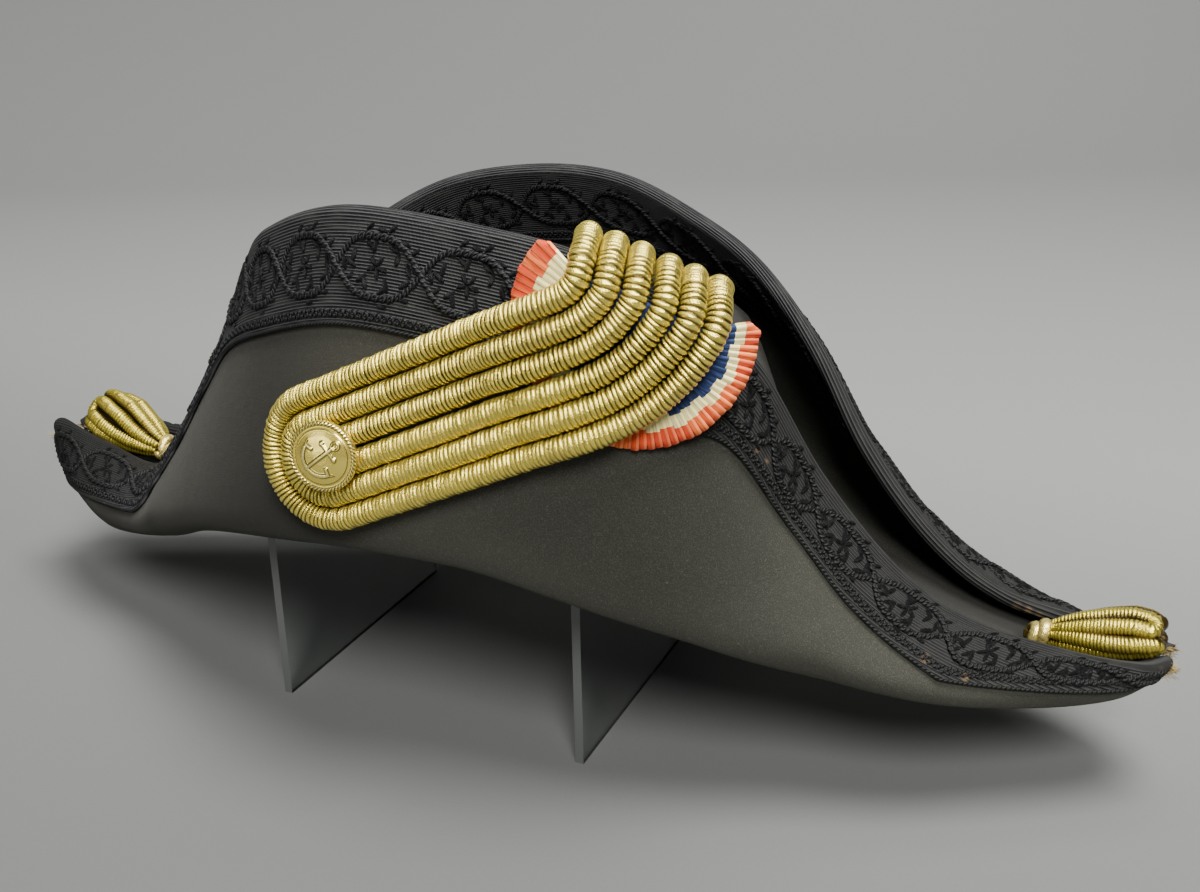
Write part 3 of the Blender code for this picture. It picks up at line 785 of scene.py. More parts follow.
@dataclass(frozen=True)
class RibbonFinish(Finish):
    """Pleated ribbon in three colours from the rim in, its borders stepped from pleat to pleat, with a
    painted highlight on each pleat's fold and painted shade in the groove between pleats.
    """

    pleats: int = 92
    red: Triple = (0.70, 0.056, 0.012)
    faded: Triple = (0.88, 0.16, 0.034)
    cream: Triple = (1.00, 0.89, 0.38)
    blue: Triple = (0.012, 0.028, 0.092)
    pale_blue: Triple = (0.055, 0.095, 0.22)
    yellowed: Triple = (0.56, 0.48, 0.30)
    # the next two are the painted highlights for the folds of red and of cream, the third the painted shade
    # in the grooves between pleats
    red_fold_highlight: Triple = (0.26, 0.17, 0.07)
    cream_fold_highlight: Triple = (0.20, 0.18, 0.08)
    groove_shade: Triple = (0.12, 0.06, 0.04)
    ridge: Triple = (0.14, 0.08, 0.06)
    blue_to: float = 23.3 * MM
    cream_to: float = 27.4 * MM

    def mixed(self, mix: Recipe) -> None:
        """Writes the ribbon's recipe.

        Args:
            mix: The recipe.
        """
        out, turn = mix.marks()
        pleat = mix.times(turn, float(self.pleats))
        number = mix.sum("FLOOR", mix.times(pleat, 0.5))
        inside = mix.sum("FRACT", pleat)
        step = mix.sum("FRACT", mix.times(number, 0.382))
        radius = mix.sum("MULTIPLY_ADD", step, 1.7 * MM, out)
        threads = mix.streaks(out, pleat, (160.0, 3.4), 2.0)
        other = mix.add("ShaderNodeTexWhiteNoise", {"noise_dimensions": "1D"}, W=mix.sum("ADD", number, 0.5))
        red = mix.blend(mix.between(other.outputs["Value"], 0.2, 0.9), self.red, self.faded)
        red = mix.blend(mix.between(threads, 0.45, 0.7), red, toned(self.red, 0.75))
        cream = mix.blend(mix.between(threads, 0.4, 0.75, 0.0, 0.8), self.cream, self.yellowed)
        # painted highlight: a light line added along each pleat's fold
        fold = mix.between(inside, 0.60, 0.85, 0.0, 0.80)
        red = mix.blend(fold, red, self.red_fold_highlight, "ADD")
        cream = mix.blend(fold, cream, self.cream_fold_highlight, "ADD")
        blue = mix.blend(mix.between(threads, 0.45, 0.7, 0.0, 0.7), self.blue, self.pale_blue)
        lean = mix.sum("COSINE", mix.times(mix.sum("ADD", turn, -0.03), TURN))
        inner = mix.sum("GREATER_THAN", mix.sum("MULTIPLY_ADD", lean, -1.9 * MM, radius), self.blue_to)
        rim = mix.sum("GREATER_THAN", mix.sum("MULTIPLY_ADD", lean, -0.5 * MM, radius), self.cream_to)
        mix.base = mix.blend(rim, mix.blend(inner, blue, cream), red)
        # painted shade in the groove at the start of each pleat
        mix.paint(mix.between(inside, 0.20, 0.0, 0.0, 0.62), self.groove_shade)
        # three fine darker lines in each pleat, running out from the middle
        fine = mix.sum("FRACT", mix.times(pleat, 3.0))
        mix.paint(mix.between(fine, 0.78, 1.0, 0.0, 0.40), self.ridge)
        mix.set(
            Base_Color=mix.base, Roughness=0.70, Specular_IOR_Level=0.2, Sheen_Weight=0.05,
            Normal=mix.bump(threads, 0.0004, 0.8),
        )


@dataclass(frozen=True)
class GiltFinish(Finish):
    """Polished gilt brass, a little worn, with painted shade on the relief's slopes and a painted highlight
    on its tops.
    """

    colour: Triple = (1.00, 0.80, 0.16)
    dull: Triple = (0.60, 0.43, 0.12)
    # painted shade for the relief's slopes, then a painted highlight for its tops
    slope_shade: Triple = (0.10, 0.065, 0.012)
    relief_highlight: Triple = (1.0, 0.88, 0.38)

    def mixed(self, mix: Recipe) -> None:
        """Writes the gilt's recipe.

        Args:
            mix: The recipe.
        """
        age = mix.noise(220.0, 4.0)
        scratch = mix.noise(1900.0, 3.0)
        level = mix.level()
        # painted shade on the relief's slopes, where level lies between low and high
        slope_shade = mix.times(mix.between(level, 0.0, 0.35), mix.between(level, 0.55, 0.95, 1.0, 0.0))
        mix.base = mix.blend(mix.between(age, 0.5, 0.75, 0.0, 0.5), self.colour, self.dull)
        mix.paint(mix.times(slope_shade, 0.85), self.slope_shade)
        # painted highlight on the tops of the relief
        mix.paint(mix.between(level, 0.75, 1.0, 0.0, 0.65), self.relief_highlight)
        mix.set(
            Base_Color=mix.base, Metallic=0.84, Roughness=mix.between(age, 0.3, 0.8, 0.17, 0.30),
            Specular_IOR_Level=0.6, Normal=mix.bump(scratch, 0.0001, 0.25),
        )


@dataclass(frozen=True)
class AcrylicFinish(Finish):
    """Clear acrylic sheet with faint scuffs, and a painted grey reflection on the faces that look towards -Y,
    where it is also less clear.
    """

    clear: Triple = (0.90, 0.93, 0.92)
    # edge: the grey of the painted reflection on the faces that look towards -Y
    edge: Triple = (0.12, 0.125, 0.12)

    def mixed(self, mix: Recipe) -> None:
        """Writes the acrylic's recipe.

        Args:
            mix: The recipe.
        """
        scuffs = mix.noise(90.0, 4.0)
        # painted reflection: faces that look towards -Y are painted grey and made less clear
        facing = mix.split(mix.add("ShaderNodeTexCoord").outputs["Normal"])[1]
        edge = mix.between(facing, -0.5, -0.9)
        mix.set(
            Base_Color=mix.blend(edge, self.clear, self.edge), IOR=1.49,
            Transmission_Weight=mix.sum("MULTIPLY_ADD", edge, -0.75, 1.0),
            Roughness=mix.between(scuffs, 0.4, 0.9, 0.02, 0.16),
            Normal=mix.bump(mix.noise(35.0, 2.0), 0.0002, 0.15),
        )


@dataclass(frozen=True)
class BackdropFinish(Finish):
    """Plain pale paper, with painted shade over the near floor and painted light behind the hat and towards
    the right of the wall.
    """

    colour: Triple = (0.150, 0.1535, 0.1455)

    def mixed(self, mix: Recipe) -> None:
        """Writes the paper's recipe.

        Args:
            mix: The recipe.
        """
        grain = mix.noise(900.0, 3.0)
        mix.base = mix.blend(mix.between(grain, 0.3, 0.7, 0.0, 0.5), self.colour, toned(self.colour, 0.93))
        side, deep, _ = mix.split(mix.place())
        # painted shade: the near floor is darkened
        mix.paint(mix.between(deep, -0.35, 0.08, 0.80, 0.0), toned(self.colour, 0.55))
        # painted light on the floor and wall behind the hat
        far = mix.times(mix.between(deep, -0.02, 0.32), mix.between(deep, 0.40, 1.30, 1.0, 0.30))
        mix.paint(far, toned(self.colour, 1.55))
        # painted light towards the right and back of the wall
        right = mix.times(mix.between(side, -0.95, 0.15), mix.between(deep, 0.40, 1.20, 0.0, 0.45))
        mix.paint(right, toned(self.colour, 1.6))
        mix.set(Base_Color=mix.base, Roughness=0.9, Specular_IOR_Level=0.2)


@dataclass(frozen=True)
class HatForm:
    """The felt's shape: one open surface lofted through the rows of RAILS."""

    half_length: float = 0.219
    half_width: float = 0.093
    flap_top: float = 0.1875
    felt: float = 0.0028
    braid_width: float = 0.031
    braid: float = 0.0010
    gap: float = 0.0003
    fold_radius: float = 0.009
    centre_shift: float = 0.0085
    guide_steps: int = 14
    plain_rows: int = 34

    def rows(self, at: Array) -> Array:
        """Reads the rows of RAILS, in metres, at these row numbers."""
        sizes = np.array([self.half_length, self.half_width, self.flap_top] * 5 + [self.braid_width, 1.0])
        return through(RAILS * sizes, at)

    def half_section(self, row: Array, side: int) -> list[Array]:
        """Lays guide points from a flap's edge, round its fold and up the crown's side.

        Args:
            row: One row in metres.
            side: -1 for the near flap, 1 for the far one.

        Returns:
            Seven guide points.
        """
        edge, fold = (row[0:3], row[3:6]) if side < 0 else (row[12:15], row[9:12])
        middle, half, top = row[6:9]
        wide = abs(fold[1])
        radius = min(self.fold_radius, 0.30 * wide + 0.001, max(0.35 * (edge[2] - fold[2]), 0.0005))
        raised = np.clip((top - fold[2]) / 0.060, 0, 1)
        turn = fold + (0, 0, radius)
        down = turn - edge
        out = np.cross(down, (side, 0, 0))
        out *= side * np.sign(out[1]) / max(np.linalg.norm(out), 1e-9)
        swell = 0.5 * (edge + turn) + out * row[16] * np.linalg.norm(down)
        under = fold + (0, -side * 0.75 * radius, -0.25 * radius)
        floor = fold[2] - 0.25 * radius
        base = np.array((
            0.7 * fold[0] + 0.3 * middle,
            side * (max(wide - 2 * radius, 0.75 * wide) * raised + 0.62 * wide * (1 - raised)),
            floor + 1.35 * radius * raised,
        ))
        wall = np.array((
            0.3 * fold[0] + 0.7 * middle,
            side * ((0.5 * (wide - 2 * radius) + 0.5 * half + 0.004) * raised + 0.45 * wide * (1 - raised)),
            floor + (0.25 * radius + 0.55 * (top - fold[2])) * raised,
        ))
        shoulder = np.array((
            middle,
            side * (0.86 * half * raised + 0.28 * wide * (1 - raised)),
            (top - min(0.016, 0.18 * (top - fold[2]))) * raised + floor * (1 - raised),
        ))
        return [edge, swell, turn, under, base, wall, shoulder]

    def outline(self, row: Array) -> tuple[Array, Array]:
        """Draws one section of the hat from the near edge to the far one.

        Args:
            row: One row in metres.

        Returns:
            The section's points close together, and the distance run at each.
        """
        crown = [np.array((row[6], 0, row[8]))]
        guides = np.array(self.half_section(row, -1) + crown + self.half_section(row, 1)[::-1])
        dense = through(guides, np.linspace(0, len(guides) - 1, (len(guides) - 1) * self.guide_steps + 1))
        dense[:, 1] += self.centre_shift
        return dense, run_along(dense)

    def section(self, row: Array, finer: int) -> Array:
        """Spaces a section's points as the part does, with each of its cells cut finer.

        Args:
            row: One row in metres.
            finer: How many cells each of the part's 28 is cut into.

        Returns:
            28 times finer plus 1 points.
        """
        dense, run = self.outline(row)
        steps = self.guide_steps
        places = []
        for marks in (run[::steps], run[-1] - run[::-1][::steps]):
            band = min(row[15], 0.92 * marks[2])
            half = [0, band / 3, 2 * band / 3, band, (band + marks[2]) / 2, marks[2]]
            for k in range(2, 6):
                half += [(marks[k] + marks[k + 1]) / 2, marks[k + 1]]
            places.append(np.array(half))
        knots = np.r_[places[0], run[::steps][7], (run[-1] - places[1])[::-1]]
        at = np.interp(np.arange((len(knots) - 1) * finer + 1) / finer, np.arange(len(knots)), knots)
        return read_at(dense, run, at)

    def surface(self, rows: int, finer: int) -> tuple[Array, Array]:
        """Works out the felt's middle surface.

        Args:
            rows: How many sections to draw.
            finer: How finely each section is cut.

        Returns:
            The surface's points, and its normals, which point out of the hat.
        """
        at = self.rows(np.linspace(0, len(RAILS) - 1, rows))
        points = np.stack([self.section(row, finer) for row in at])
        return points, normals_of(points)


@dataclass
class BandMap:
    """Finds places on one flap's bound edge, by the distance along it and the share down it."""

    form: HatForm
    flap: Flap
    step: float = 1.2 * MM
    columns: int = 33
    points: Array = field(init=False)
    normals: Array = field(init=False)
    run: Array = field(init=False)
    width: Array = field(init=False)

    def __post_init__(self) -> None:
        """Draws the band's grid, with its rows evenly spaced along its middle."""
        at = np.linspace(0, len(RAILS) - 1, 420)
        middle = self.drawn(at)[0][:, self.columns // 2]
        run = run_along(middle)
        self.run = np.linspace(0, run[-1], int(run[-1] / self.step) + 1)
        self.points, self.width = self.drawn(np.interp(self.run, run, at))
        self.normals = -self.flap.value * normals_of(self.points)

    def drawn(self, at: Array) -> tuple[Array, Array]:
        """Draws the band at these row numbers, from the flap's edge down.

        Args:
            at: Row numbers of RAILS.

        Returns:
            Rows by columns of points, and the band's width at each row.
        """
        grid, widths = [], []
        for row in self.form.rows(at):
            dense, run = self.form.outline(row)
            if self.flap is Flap.FAR:
                dense, run = dense[::-1], run[-1] - run[::-1]
            band = min(row[15], 0.92 * run[2 * self.form.guide_steps])
            across = np.linspace(0, band, self.columns)
            grid.append(read_at(dense, run, across))
            widths.append(band)
        return np.array(grid), np.array(widths)

    def width_at(self, along: Array | float) -> Array:
        """The band's width at these distances along it."""
        return np.interp(along, self.run, self.width)

    def place(self, along: Array, down: Array, high: Array | float, face: Face) -> Array:
        """Finds points on the band.

        Args:
            along: Distances along the band's middle.
            down: Shares of the band's width from the flap's edge.
            high: Heights over the braid's face.
            face: The flap's face that the points lie on.

        Returns:
            A point for each.
        """
        along, down, high = np.broadcast_arrays(along, down, high)
        i = np.clip(along / self.run[-1] * (len(self.run) - 1), 0, len(self.run) - 1.001)
        j = np.clip(down * (self.columns - 1), 0, self.columns - 1.001)
        i0, j0 = i.astype(int), j.astype(int)
        fi, fj = (i - i0)[..., None], (j - j0)[..., None]

        def read(grid: Array) -> Array:
            """Reads a grid between its points."""
            upper = grid[i0, j0] * (1 - fj) + grid[i0, j0 + 1] * fj
            return upper * (1 - fi) + (grid[i0 + 1, j0] * (1 - fj) + grid[i0 + 1, j0 + 1] * fj) * fi

        off = self.form.felt / 2 + self.form.gap + self.form.braid + high
        return read(self.points) + read(self.normals) * (face.value * off)[..., None]


@dataclass
class FeltBody:
    """The felt: crown, two flaps and two horns in one sheet."""

    form: HatForm
    finish: FeltFinish = FeltFinish("napped_felt")
    rows: int = 149
    finer: int = 4
    dents: float = 0.105 * MM
    trimmed: float = 3.2
    cells: int = 28
    crown_half: float = 6.2

    def build(self) -> None:
        """Builds the felt sheet, gives it its wall and dresses it."""
        points, normals = self.form.surface(self.rows, self.finer)
        cells = np.arange(points.shape[1]) / self.finer
        free = np.clip((np.minimum(cells, self.cells - cells) - self.trimmed) / 1.5, 0, 1)[None, :, None]
        x, y, z = np.moveaxis(points, 2, 0)
        swell = np.sin(61 * x + 40 * z + 1.3) * np.sin(53 * z - 31 * x + 17 * y)
        swell = swell + 0.6 * np.sin(127 * x + 90 * z + 40 * y)
        points = points - normals * free * (self.dents * (swell[..., None] + 1.6))
        down = np.cumsum(np.linalg.norm(np.diff(points, axis=1, prepend=points[:, :1]), axis=2), axis=1)
        marks = np.stack((np.broadcast_to(points[:, :1, 0], down.shape), down), axis=2)
        # painted shade: level is 1 over the crown's middle cells and 0 on the flaps, and the felt's finish
        # darkens it there
        crown = np.clip((self.crown_half - np.abs(cells - self.cells / 2)) / 0.8, 0, 1)
        piece = grid_piece("felt_sheet", points, marks, level=np.broadcast_to(crown, down.shape))
        walled(piece, self.form.felt)
        dress(piece, self.finish, ("felt_body",))


@dataclass
class Galon:
    """The wide braid that binds one flap, with its raised pattern on both faces."""

    form: HatForm
    flap: Flap
    band: BandMap
    node: str
    braid: BraidFinish = BraidFinish("ribbed_braid")
    cord: CordedSilkFinish = CordedSilkFinish("raised_silk_cord")
    wave: float = 57.0 * MM
    phase: float = 21.5 * MM
    swing: float = 0.305
    middle: float = 0.44
    vine_radius: float = 0.62 * MM
    rope_lay: float = 5.0 * MM
    lace_wave: float = 4.4 * MM
    lace_in: float = 3.4 * MM
    leaf_size: Triple = (4.4 * MM, 1.7 * MM, 0.85 * MM)
    lace_radius: float = 0.42 * MM
    end_radius: float = 0.50 * MM
    clear: float = 5 * MM
    fine: tuple[float, int, float] = (0.75 * MM, 6, 0.65 * MM)
    plain: tuple[float, int, float] = (1.2 * MM, 5, 1.1 * MM)

    def ground(self) -> Piece:
        """Builds the braid itself: down one face, round the edge and down the other, as a closed sheet.

        Returns:
            The braid's piece.
        """
        band, form = self.band, self.form
        shares, few = np.linspace(0, 1, 33), np.linspace(0, 1, 6)
        along = band.run[:, None]
        beyond = band.points[:, 0] - band.points[:, 1]
        beyond /= np.linalg.norm(beyond, axis=1, keepdims=True)

        def rim(reach: float, turns: int) -> Array:
            """The columns round the flap's edge, this far from the felt's middle.

            Args:
                reach: How far.
                turns: How many columns.

            Returns:
                A point for each row and column.
            """
            angles = np.linspace(0, math.pi, turns + 2)[1:-1]
            return (
                band.points[:, 0, None]
                + beyond[:, None] * (reach * np.sin(angles))[None, :, None]
                + band.normals[:, 0, None] * (reach * np.cos(angles))[None, :, None]
            )

        outside = form.felt / 2 + form.gap + form.braid
        places = np.concatenate([
            band.place(along, shares[::-1][None], 0.0, Face.OUTER),
            rim(outside, 7),
            band.place(along, shares[None], 0.0, Face.INNER),
            band.place(along, few[::-1][None], -form.braid, Face.INNER),
            rim(outside - form.braid, 3)[:, ::-1],
            band.place(along, few[None], -form.braid, Face.OUTER),
        ], axis=1)
        places = np.concatenate([places, places[:, :1]], axis=1)
        widths = np.concatenate([
            shares[::-1], np.linspace(-0.03, -0.24, 7), shares, few[::-1], np.zeros(3), few, shares[-1:],
        ])
        marks = np.stack(np.broadcast_arrays(along, widths[None] * band.width[:, None]), axis=2)
        return grid_piece(f"{self.node}_braid", pointed(places), capped(marks), rolled=True)

    def cord_on(
        self, along: Array, down: Array, face: Face, radius: float, sides: int,
        rise: Array | float,
    ) -> Piece:
        """Lays one thin cord on the braid.

        Args:
            along: Distances along the band.
            down: Shares down the band.
            face: The face that it lies on.
            radius: The cord's radius.
            sides: How many sides it has.
            rise: How high its middle lies over the braid.

        Returns:
            The cord's piece.
        """
        path = self.band.place(along, down, rise, face)
        places, marks = tube_grid(path, np.full(len(path), radius), sides=sides)
        return grid_piece("cord", places, marks, rolled=True)

    def vines(self, face: Face, step: float, sides: int) -> list[Piece]:
        """Lays the two vines that swing across each other, as opposite waves.

        Args:
            face: The face that they lie on.
            step: The distance between their points.
            sides: How many sides each strand has.

        Returns:
            The pieces of their strands.
        """
        length = self.band.run[-1]
        along = np.arange(2 * MM, length - 2 * MM, step)
        angle = TURN * (along + self.phase) / self.wave
        swing = np.sin(angle) + 0.10 * np.sin(3 * angle)
        lay = TURN * along / self.rope_lay
        pieces = []
        for side, strand in itertools.product((1, -1), repeat=2):
            out = strand * self.vine_radius
            down = self.middle + side * self.swing * swing + out * np.cos(lay) / self.band.width_at(along)
            high = 0.30 * MM + 0.32 * MM * side * np.cos(angle) + 0.35 * out * np.sin(lay)
            pieces.append(self.cord_on(along, down, face, self.vine_radius, sides, high))
        return pieces

    def lace(self, face: Face, step: float) -> list[Piece]:
        """Lays the narrow zigzag along the band's lower side, and the dark cord that ends it.

        Args:
            face: The face that they lie on.
            step: The distance between their points.

        Returns:
            Their pieces.
        """
        length = self.band.run[-1]
        along = np.arange(1 * MM, length - 1 * MM, step)
        angle = TURN * along / self.lace_wave
        saw = 2 / math.pi * np.arcsin(0.98 * np.sin(angle))
        pieces = []
        for side in (1, -1):
            down = 1 - (self.lace_in + side * 1.25 * MM * saw) / self.band.width_at(along)
            high = 0.15 * MM + 0.18 * MM * side * np.cos(angle)
            pieces.append(self.cord_on(along, down, face, self.lace_radius, 5, high))
        sparse = along[::2]
        down = 1 - 0.45 * MM / self.band.width_at(sparse)
        pieces.append(self.cord_on(sparse, down, face, self.end_radius, 6, 0.0))
        return pieces

    def leaf(self) -> tuple[Array, list[tuple[int, ...]]]:
        """Models one leaf of the pattern from a squeezed ball, lying along x.

        Returns:
            Its points, from its stalk at the origin, and its faces.
        """
        choose()
        bpy.ops.mesh.primitive_uv_sphere_add(segments=6, ring_count=5, radius=1)
        ball = bpy.context.object
        x, y, z = np.array([v.co for v in ball.data.vertices]).T
        faces = [tuple(f.vertices) for f in ball.data.polygons]
        bpy.data.objects.remove(ball)
        length, wide, high = self.leaf_size
        return np.stack((0.5 * (z + 1) * length, x * wide / 2, y * high), axis=1), faces

    def leaf_places(self) -> list[tuple[float, float, float, float]]:
        """Lays out the leaves inside each lozenge of the vines, along both arcs and in its middle.

        Returns:
            For each leaf the distance along the band, the share down it, its lean and its size.
        """
        length, half = self.band.run[-1], self.wave / 2
        centres = [(k + 0.5) * half - self.phase for k in range(-2, int(length / half) + 3)]
        laid = []
        for centre in (c for c in centres if self.clear < c < length - self.clear):
            for side, k in itertools.product((1, -1), range(7)):
                along = centre + (0.12 * (k - 3)) * half * 1.05
                swing = abs(math.sin(TURN * (along + self.phase) / self.wave))
                down = self.middle + side * (self.swing * swing - 0.055)
                tipped = -1 if k % 2 == 0 else 1
                laid.append((along, down, math.radians(-70 * side + 35 * tipped), 1.0))
                laid.append((along, down + side * 0.09, math.radians(25 * tipped) - 0.3, 0.8))
            laid += [(centre, self.middle, TURN * k / 5 + 0.3, 0.85) for k in range(5)]
        return laid

    def sprays(self, face: Face) -> Piece:
        """Models every leaf of one face, as one piece.

        Args:
            face: The face that they lie on.

        Returns:
            The piece.
        """
        points, faces = self.leaf()
        shapes, joined_faces = [], []
        for number, (along, down, lean, size) in enumerate(self.leaf_places()):
            x, y = rotated(points[:, 0], points[:, 1], lean)
            share = np.clip(down + size * y / float(self.band.width_at(along)), 0.02, 0.98)
            shapes.append(self.band.place(along + size * x, share, points[:, 2], face))
            joined_faces += [tuple(v + number * len(points) for v in f) for f in faces]
        return mesh_piece("leaves", np.concatenate(shapes).tolist(), joined_faces, mapped=True)

    def build(self) -> None:
        """Builds and dresses the braid and its raised pattern."""
        dress(self.ground(), self.braid, (self.node,))
        for face in Face:
            shown = (face is Face.OUTER) == (self.flap is Flap.NEAR)
            step, sides, lace_step = self.fine if shown else self.plain
            parts = [*self.vines(face, step, sides), *self.lace(face, lace_step), self.sprays(face)]
            dress(joined(f"{self.node}_{face.name.lower()}_pattern", parts), self.cord)


@dataclass
class NearFlap:
    """The near flap laid flat: its turn round the head is taken out, so that trimmings are placed on it."""

    form: HatForm
    turn_x: float = 0.2146 * 0.219
    turn_y: float = -0.9193 * 0.093
    turn_radius: float = 0.8925 * 0.093
    rail: Array = field(init=False)

    def __post_init__(self) -> None:
        """Reads the flap's edge as the part has it."""
        points, _ = self.form.surface(self.form.plain_rows, 1)
        self.rail = self.laid_flat(points[:, 0])

    def laid_flat(self, places: Array) -> Array:
        """Takes the turn out of places: distance along the flap, y in front of it, height.

        Args:
            places: Places on the hat.

        Returns:
            The same places laid flat.
        """
        x, y, z = np.array(places, float).T
        centre = self.turn_y + self.turn_radius
        past = x > self.turn_x
        angle = np.arctan2(x - self.turn_x, centre - y)
        flat = np.where(past, self.turn_x + self.turn_radius * angle, x)
        return np.stack((flat, np.where(past, centre - np.hypot(x - self.turn_x, centre - y), y), z), axis=1)

    def turned_back(self, places: Array) -> Array:
        """Puts the turn back: the opposite of laid_flat.

        Args:
            places: Places laid flat.

        Returns:
            The same places on the hat.
        """
        flat, y, z = np.array(places, float).T
        centre = self.turn_y + self.turn_radius
        past = flat > self.turn_x
        angle = (flat - self.turn_x) / self.turn_radius
        x = np.where(past, self.turn_x + (centre - y) * np.sin(angle), flat)
        return np.stack((x, np.where(past, centre - (centre - y) * np.cos(angle), y), z), axis=1)

    def tree(self, *nodes: str) -> BVHTree:
        """Returns what a ray can hit: the faces of these CAD nodes with the flap laid flat.

        Args:
            nodes: The nodes' names.

        Returns:
            The tree of their faces.
        """
        corners, faces = [], []
        for node in nodes:
            faces += [[len(corners) + v for v in p.vertices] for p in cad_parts[node].data.polygons]
            corners += part_points(node).tolist()
        return BVHTree.FromPolygons([tuple(p) for p in self.laid_flat(corners)], faces)

    @staticmethod
    def front(tree: BVHTree, x: float, z: float, otherwise: float) -> float:
        """How near the surface comes, as its y, at this place of the flap laid flat."""
        struck = tree.ray_cast(Vector((x, -0.3, z)), Vector((0, 1, 0)))[0]
        return struck.y if struck else otherwise

    def edge_at(self, x: float) -> Array:
        """The flap's edge, laid flat, where it passes x."""
        return read_at(self.rail, self.rail[:, 0], x)


@dataclass
class Cockade:
    """The pleated ribbon disc on the near flap."""

    form: HatForm
    flat: NearFlap
    finish: RibbonFinish = RibbonFinish("pleated_ribbon")
    radius: float = 0.0315
    thickness: float = 0.0009
    pleat: float = 0.00032
    lift: float = 0.004
    clear: float = 0.0013
    over: float = 0.0006
    free_over: float = 0.0065
    front_over: float = 0.0040
    full: float = 0.13
    full_at: float = math.radians(135.0)
    cords: tuple[float, float] = (0.05726, 0.10831)
    across: int = 15
    cells: int = 8
    rises: float = 0.82
    trim: float = 0.0002

    def centre(self) -> tuple[float, float]:
        """The disc's middle on the flap laid flat."""
        return 0.363 * self.form.half_length, 0.858 * self.form.flap_top

    def back(self) -> tuple[Array, Array]:
        """Works out the disc's height over the flap, clear of the band and lifting towards the front.

        Returns:
            Places along the flap, and the disc's y at each.
        """
        tree = self.flat.tree("felt_body", "galon_near")
        middle, level = self.centre()
        xs = np.linspace(-1, 1, 25) * self.radius + middle
        near = []
        for x in xs:
            rise = math.sqrt(max(self.radius**2 - (x - middle) ** 2, 0))
            top = min(level + rise, self.flat.edge_at(x)[2])
            near.append(min(self.flat.front(tree, x, z, 0.0) for z in np.linspace(level - rise, top, 15)))
        lift = self.lift * np.clip((xs - middle) / self.radius, 0, 1) ** 2
        return xs, settled(np.array(near), 2) - lift - self.form.gap - self.clear

    def cut_off(self, reach: float, angle: float) -> float:
        """Shortens the disc's reach at an angle where it would pass over the flap's edge.

        Args:
            reach: The reach wanted.
            angle: The angle.

        Returns:
            The reach that it keeps.
        """
        middle, level = self.centre()
        while True:
            x = middle + reach * math.cos(angle)
            over = self.free_over + (x > self.cords[1]) * self.front_over
            if self.cords[0] < x < self.cords[1]:
                over = self.over
            if level + reach * math.sin(angle) <= over + self.flat.edge_at(x)[2]:
                return reach
            reach -= self.trim

    def build(self) -> None:
        """Builds the disc in lapped pleats, cut off at the edge under the cords, and dresses it."""
        xs, back = self.back()
        middle, level = self.centre()
        pleats = self.finish.pleats
        angles = np.linspace(0, TURN, pleats * self.cells + 1)
        uneven = np.random.default_rng(7).uniform(-1, 1, pleats)
        places = np.zeros((len(angles), self.across + 1, 3))
        marks = np.zeros((*places.shape[:2], 2))
        for k, angle in enumerate(angles):
            number, inside = divmod(k / self.cells, 1)
            own = uneven[int(number) % pleats]
            full = 1 + self.full * max(math.cos(angle - self.full_at), 0) ** 2
            reach = self.radius * full * (1 - 0.005 * (1 - math.sin(math.pi * min(inside * 1.25, 1))))
            reach = self.cut_off(reach, angle) + self.trim * own
            saw = inside / self.rises if inside < self.rises else (1 - inside) / (1 - self.rises)
            for j in range(self.across + 1):
                share = j / self.across
                at = middle + share * reach * math.cos(angle)
                fold = self.pleat * (share**0.8) * (1.0 - 1.9 * saw * (1 + 0.25 * own))
                high = level + share * reach * math.sin(angle)
                places[k, j] = (at, np.interp(at, xs, back) + fold, high)
                marks[k, j] = (share * reach / full, k / self.cells / pleats)
        places = self.flat.turned_back(places.reshape(-1, 3)).reshape(places.shape)
        piece = grid_piece("cockade_ribbon", places, marks, rolled=True)
        walled(piece, self.thickness)
        dress(piece, self.finish, ("cockade",))


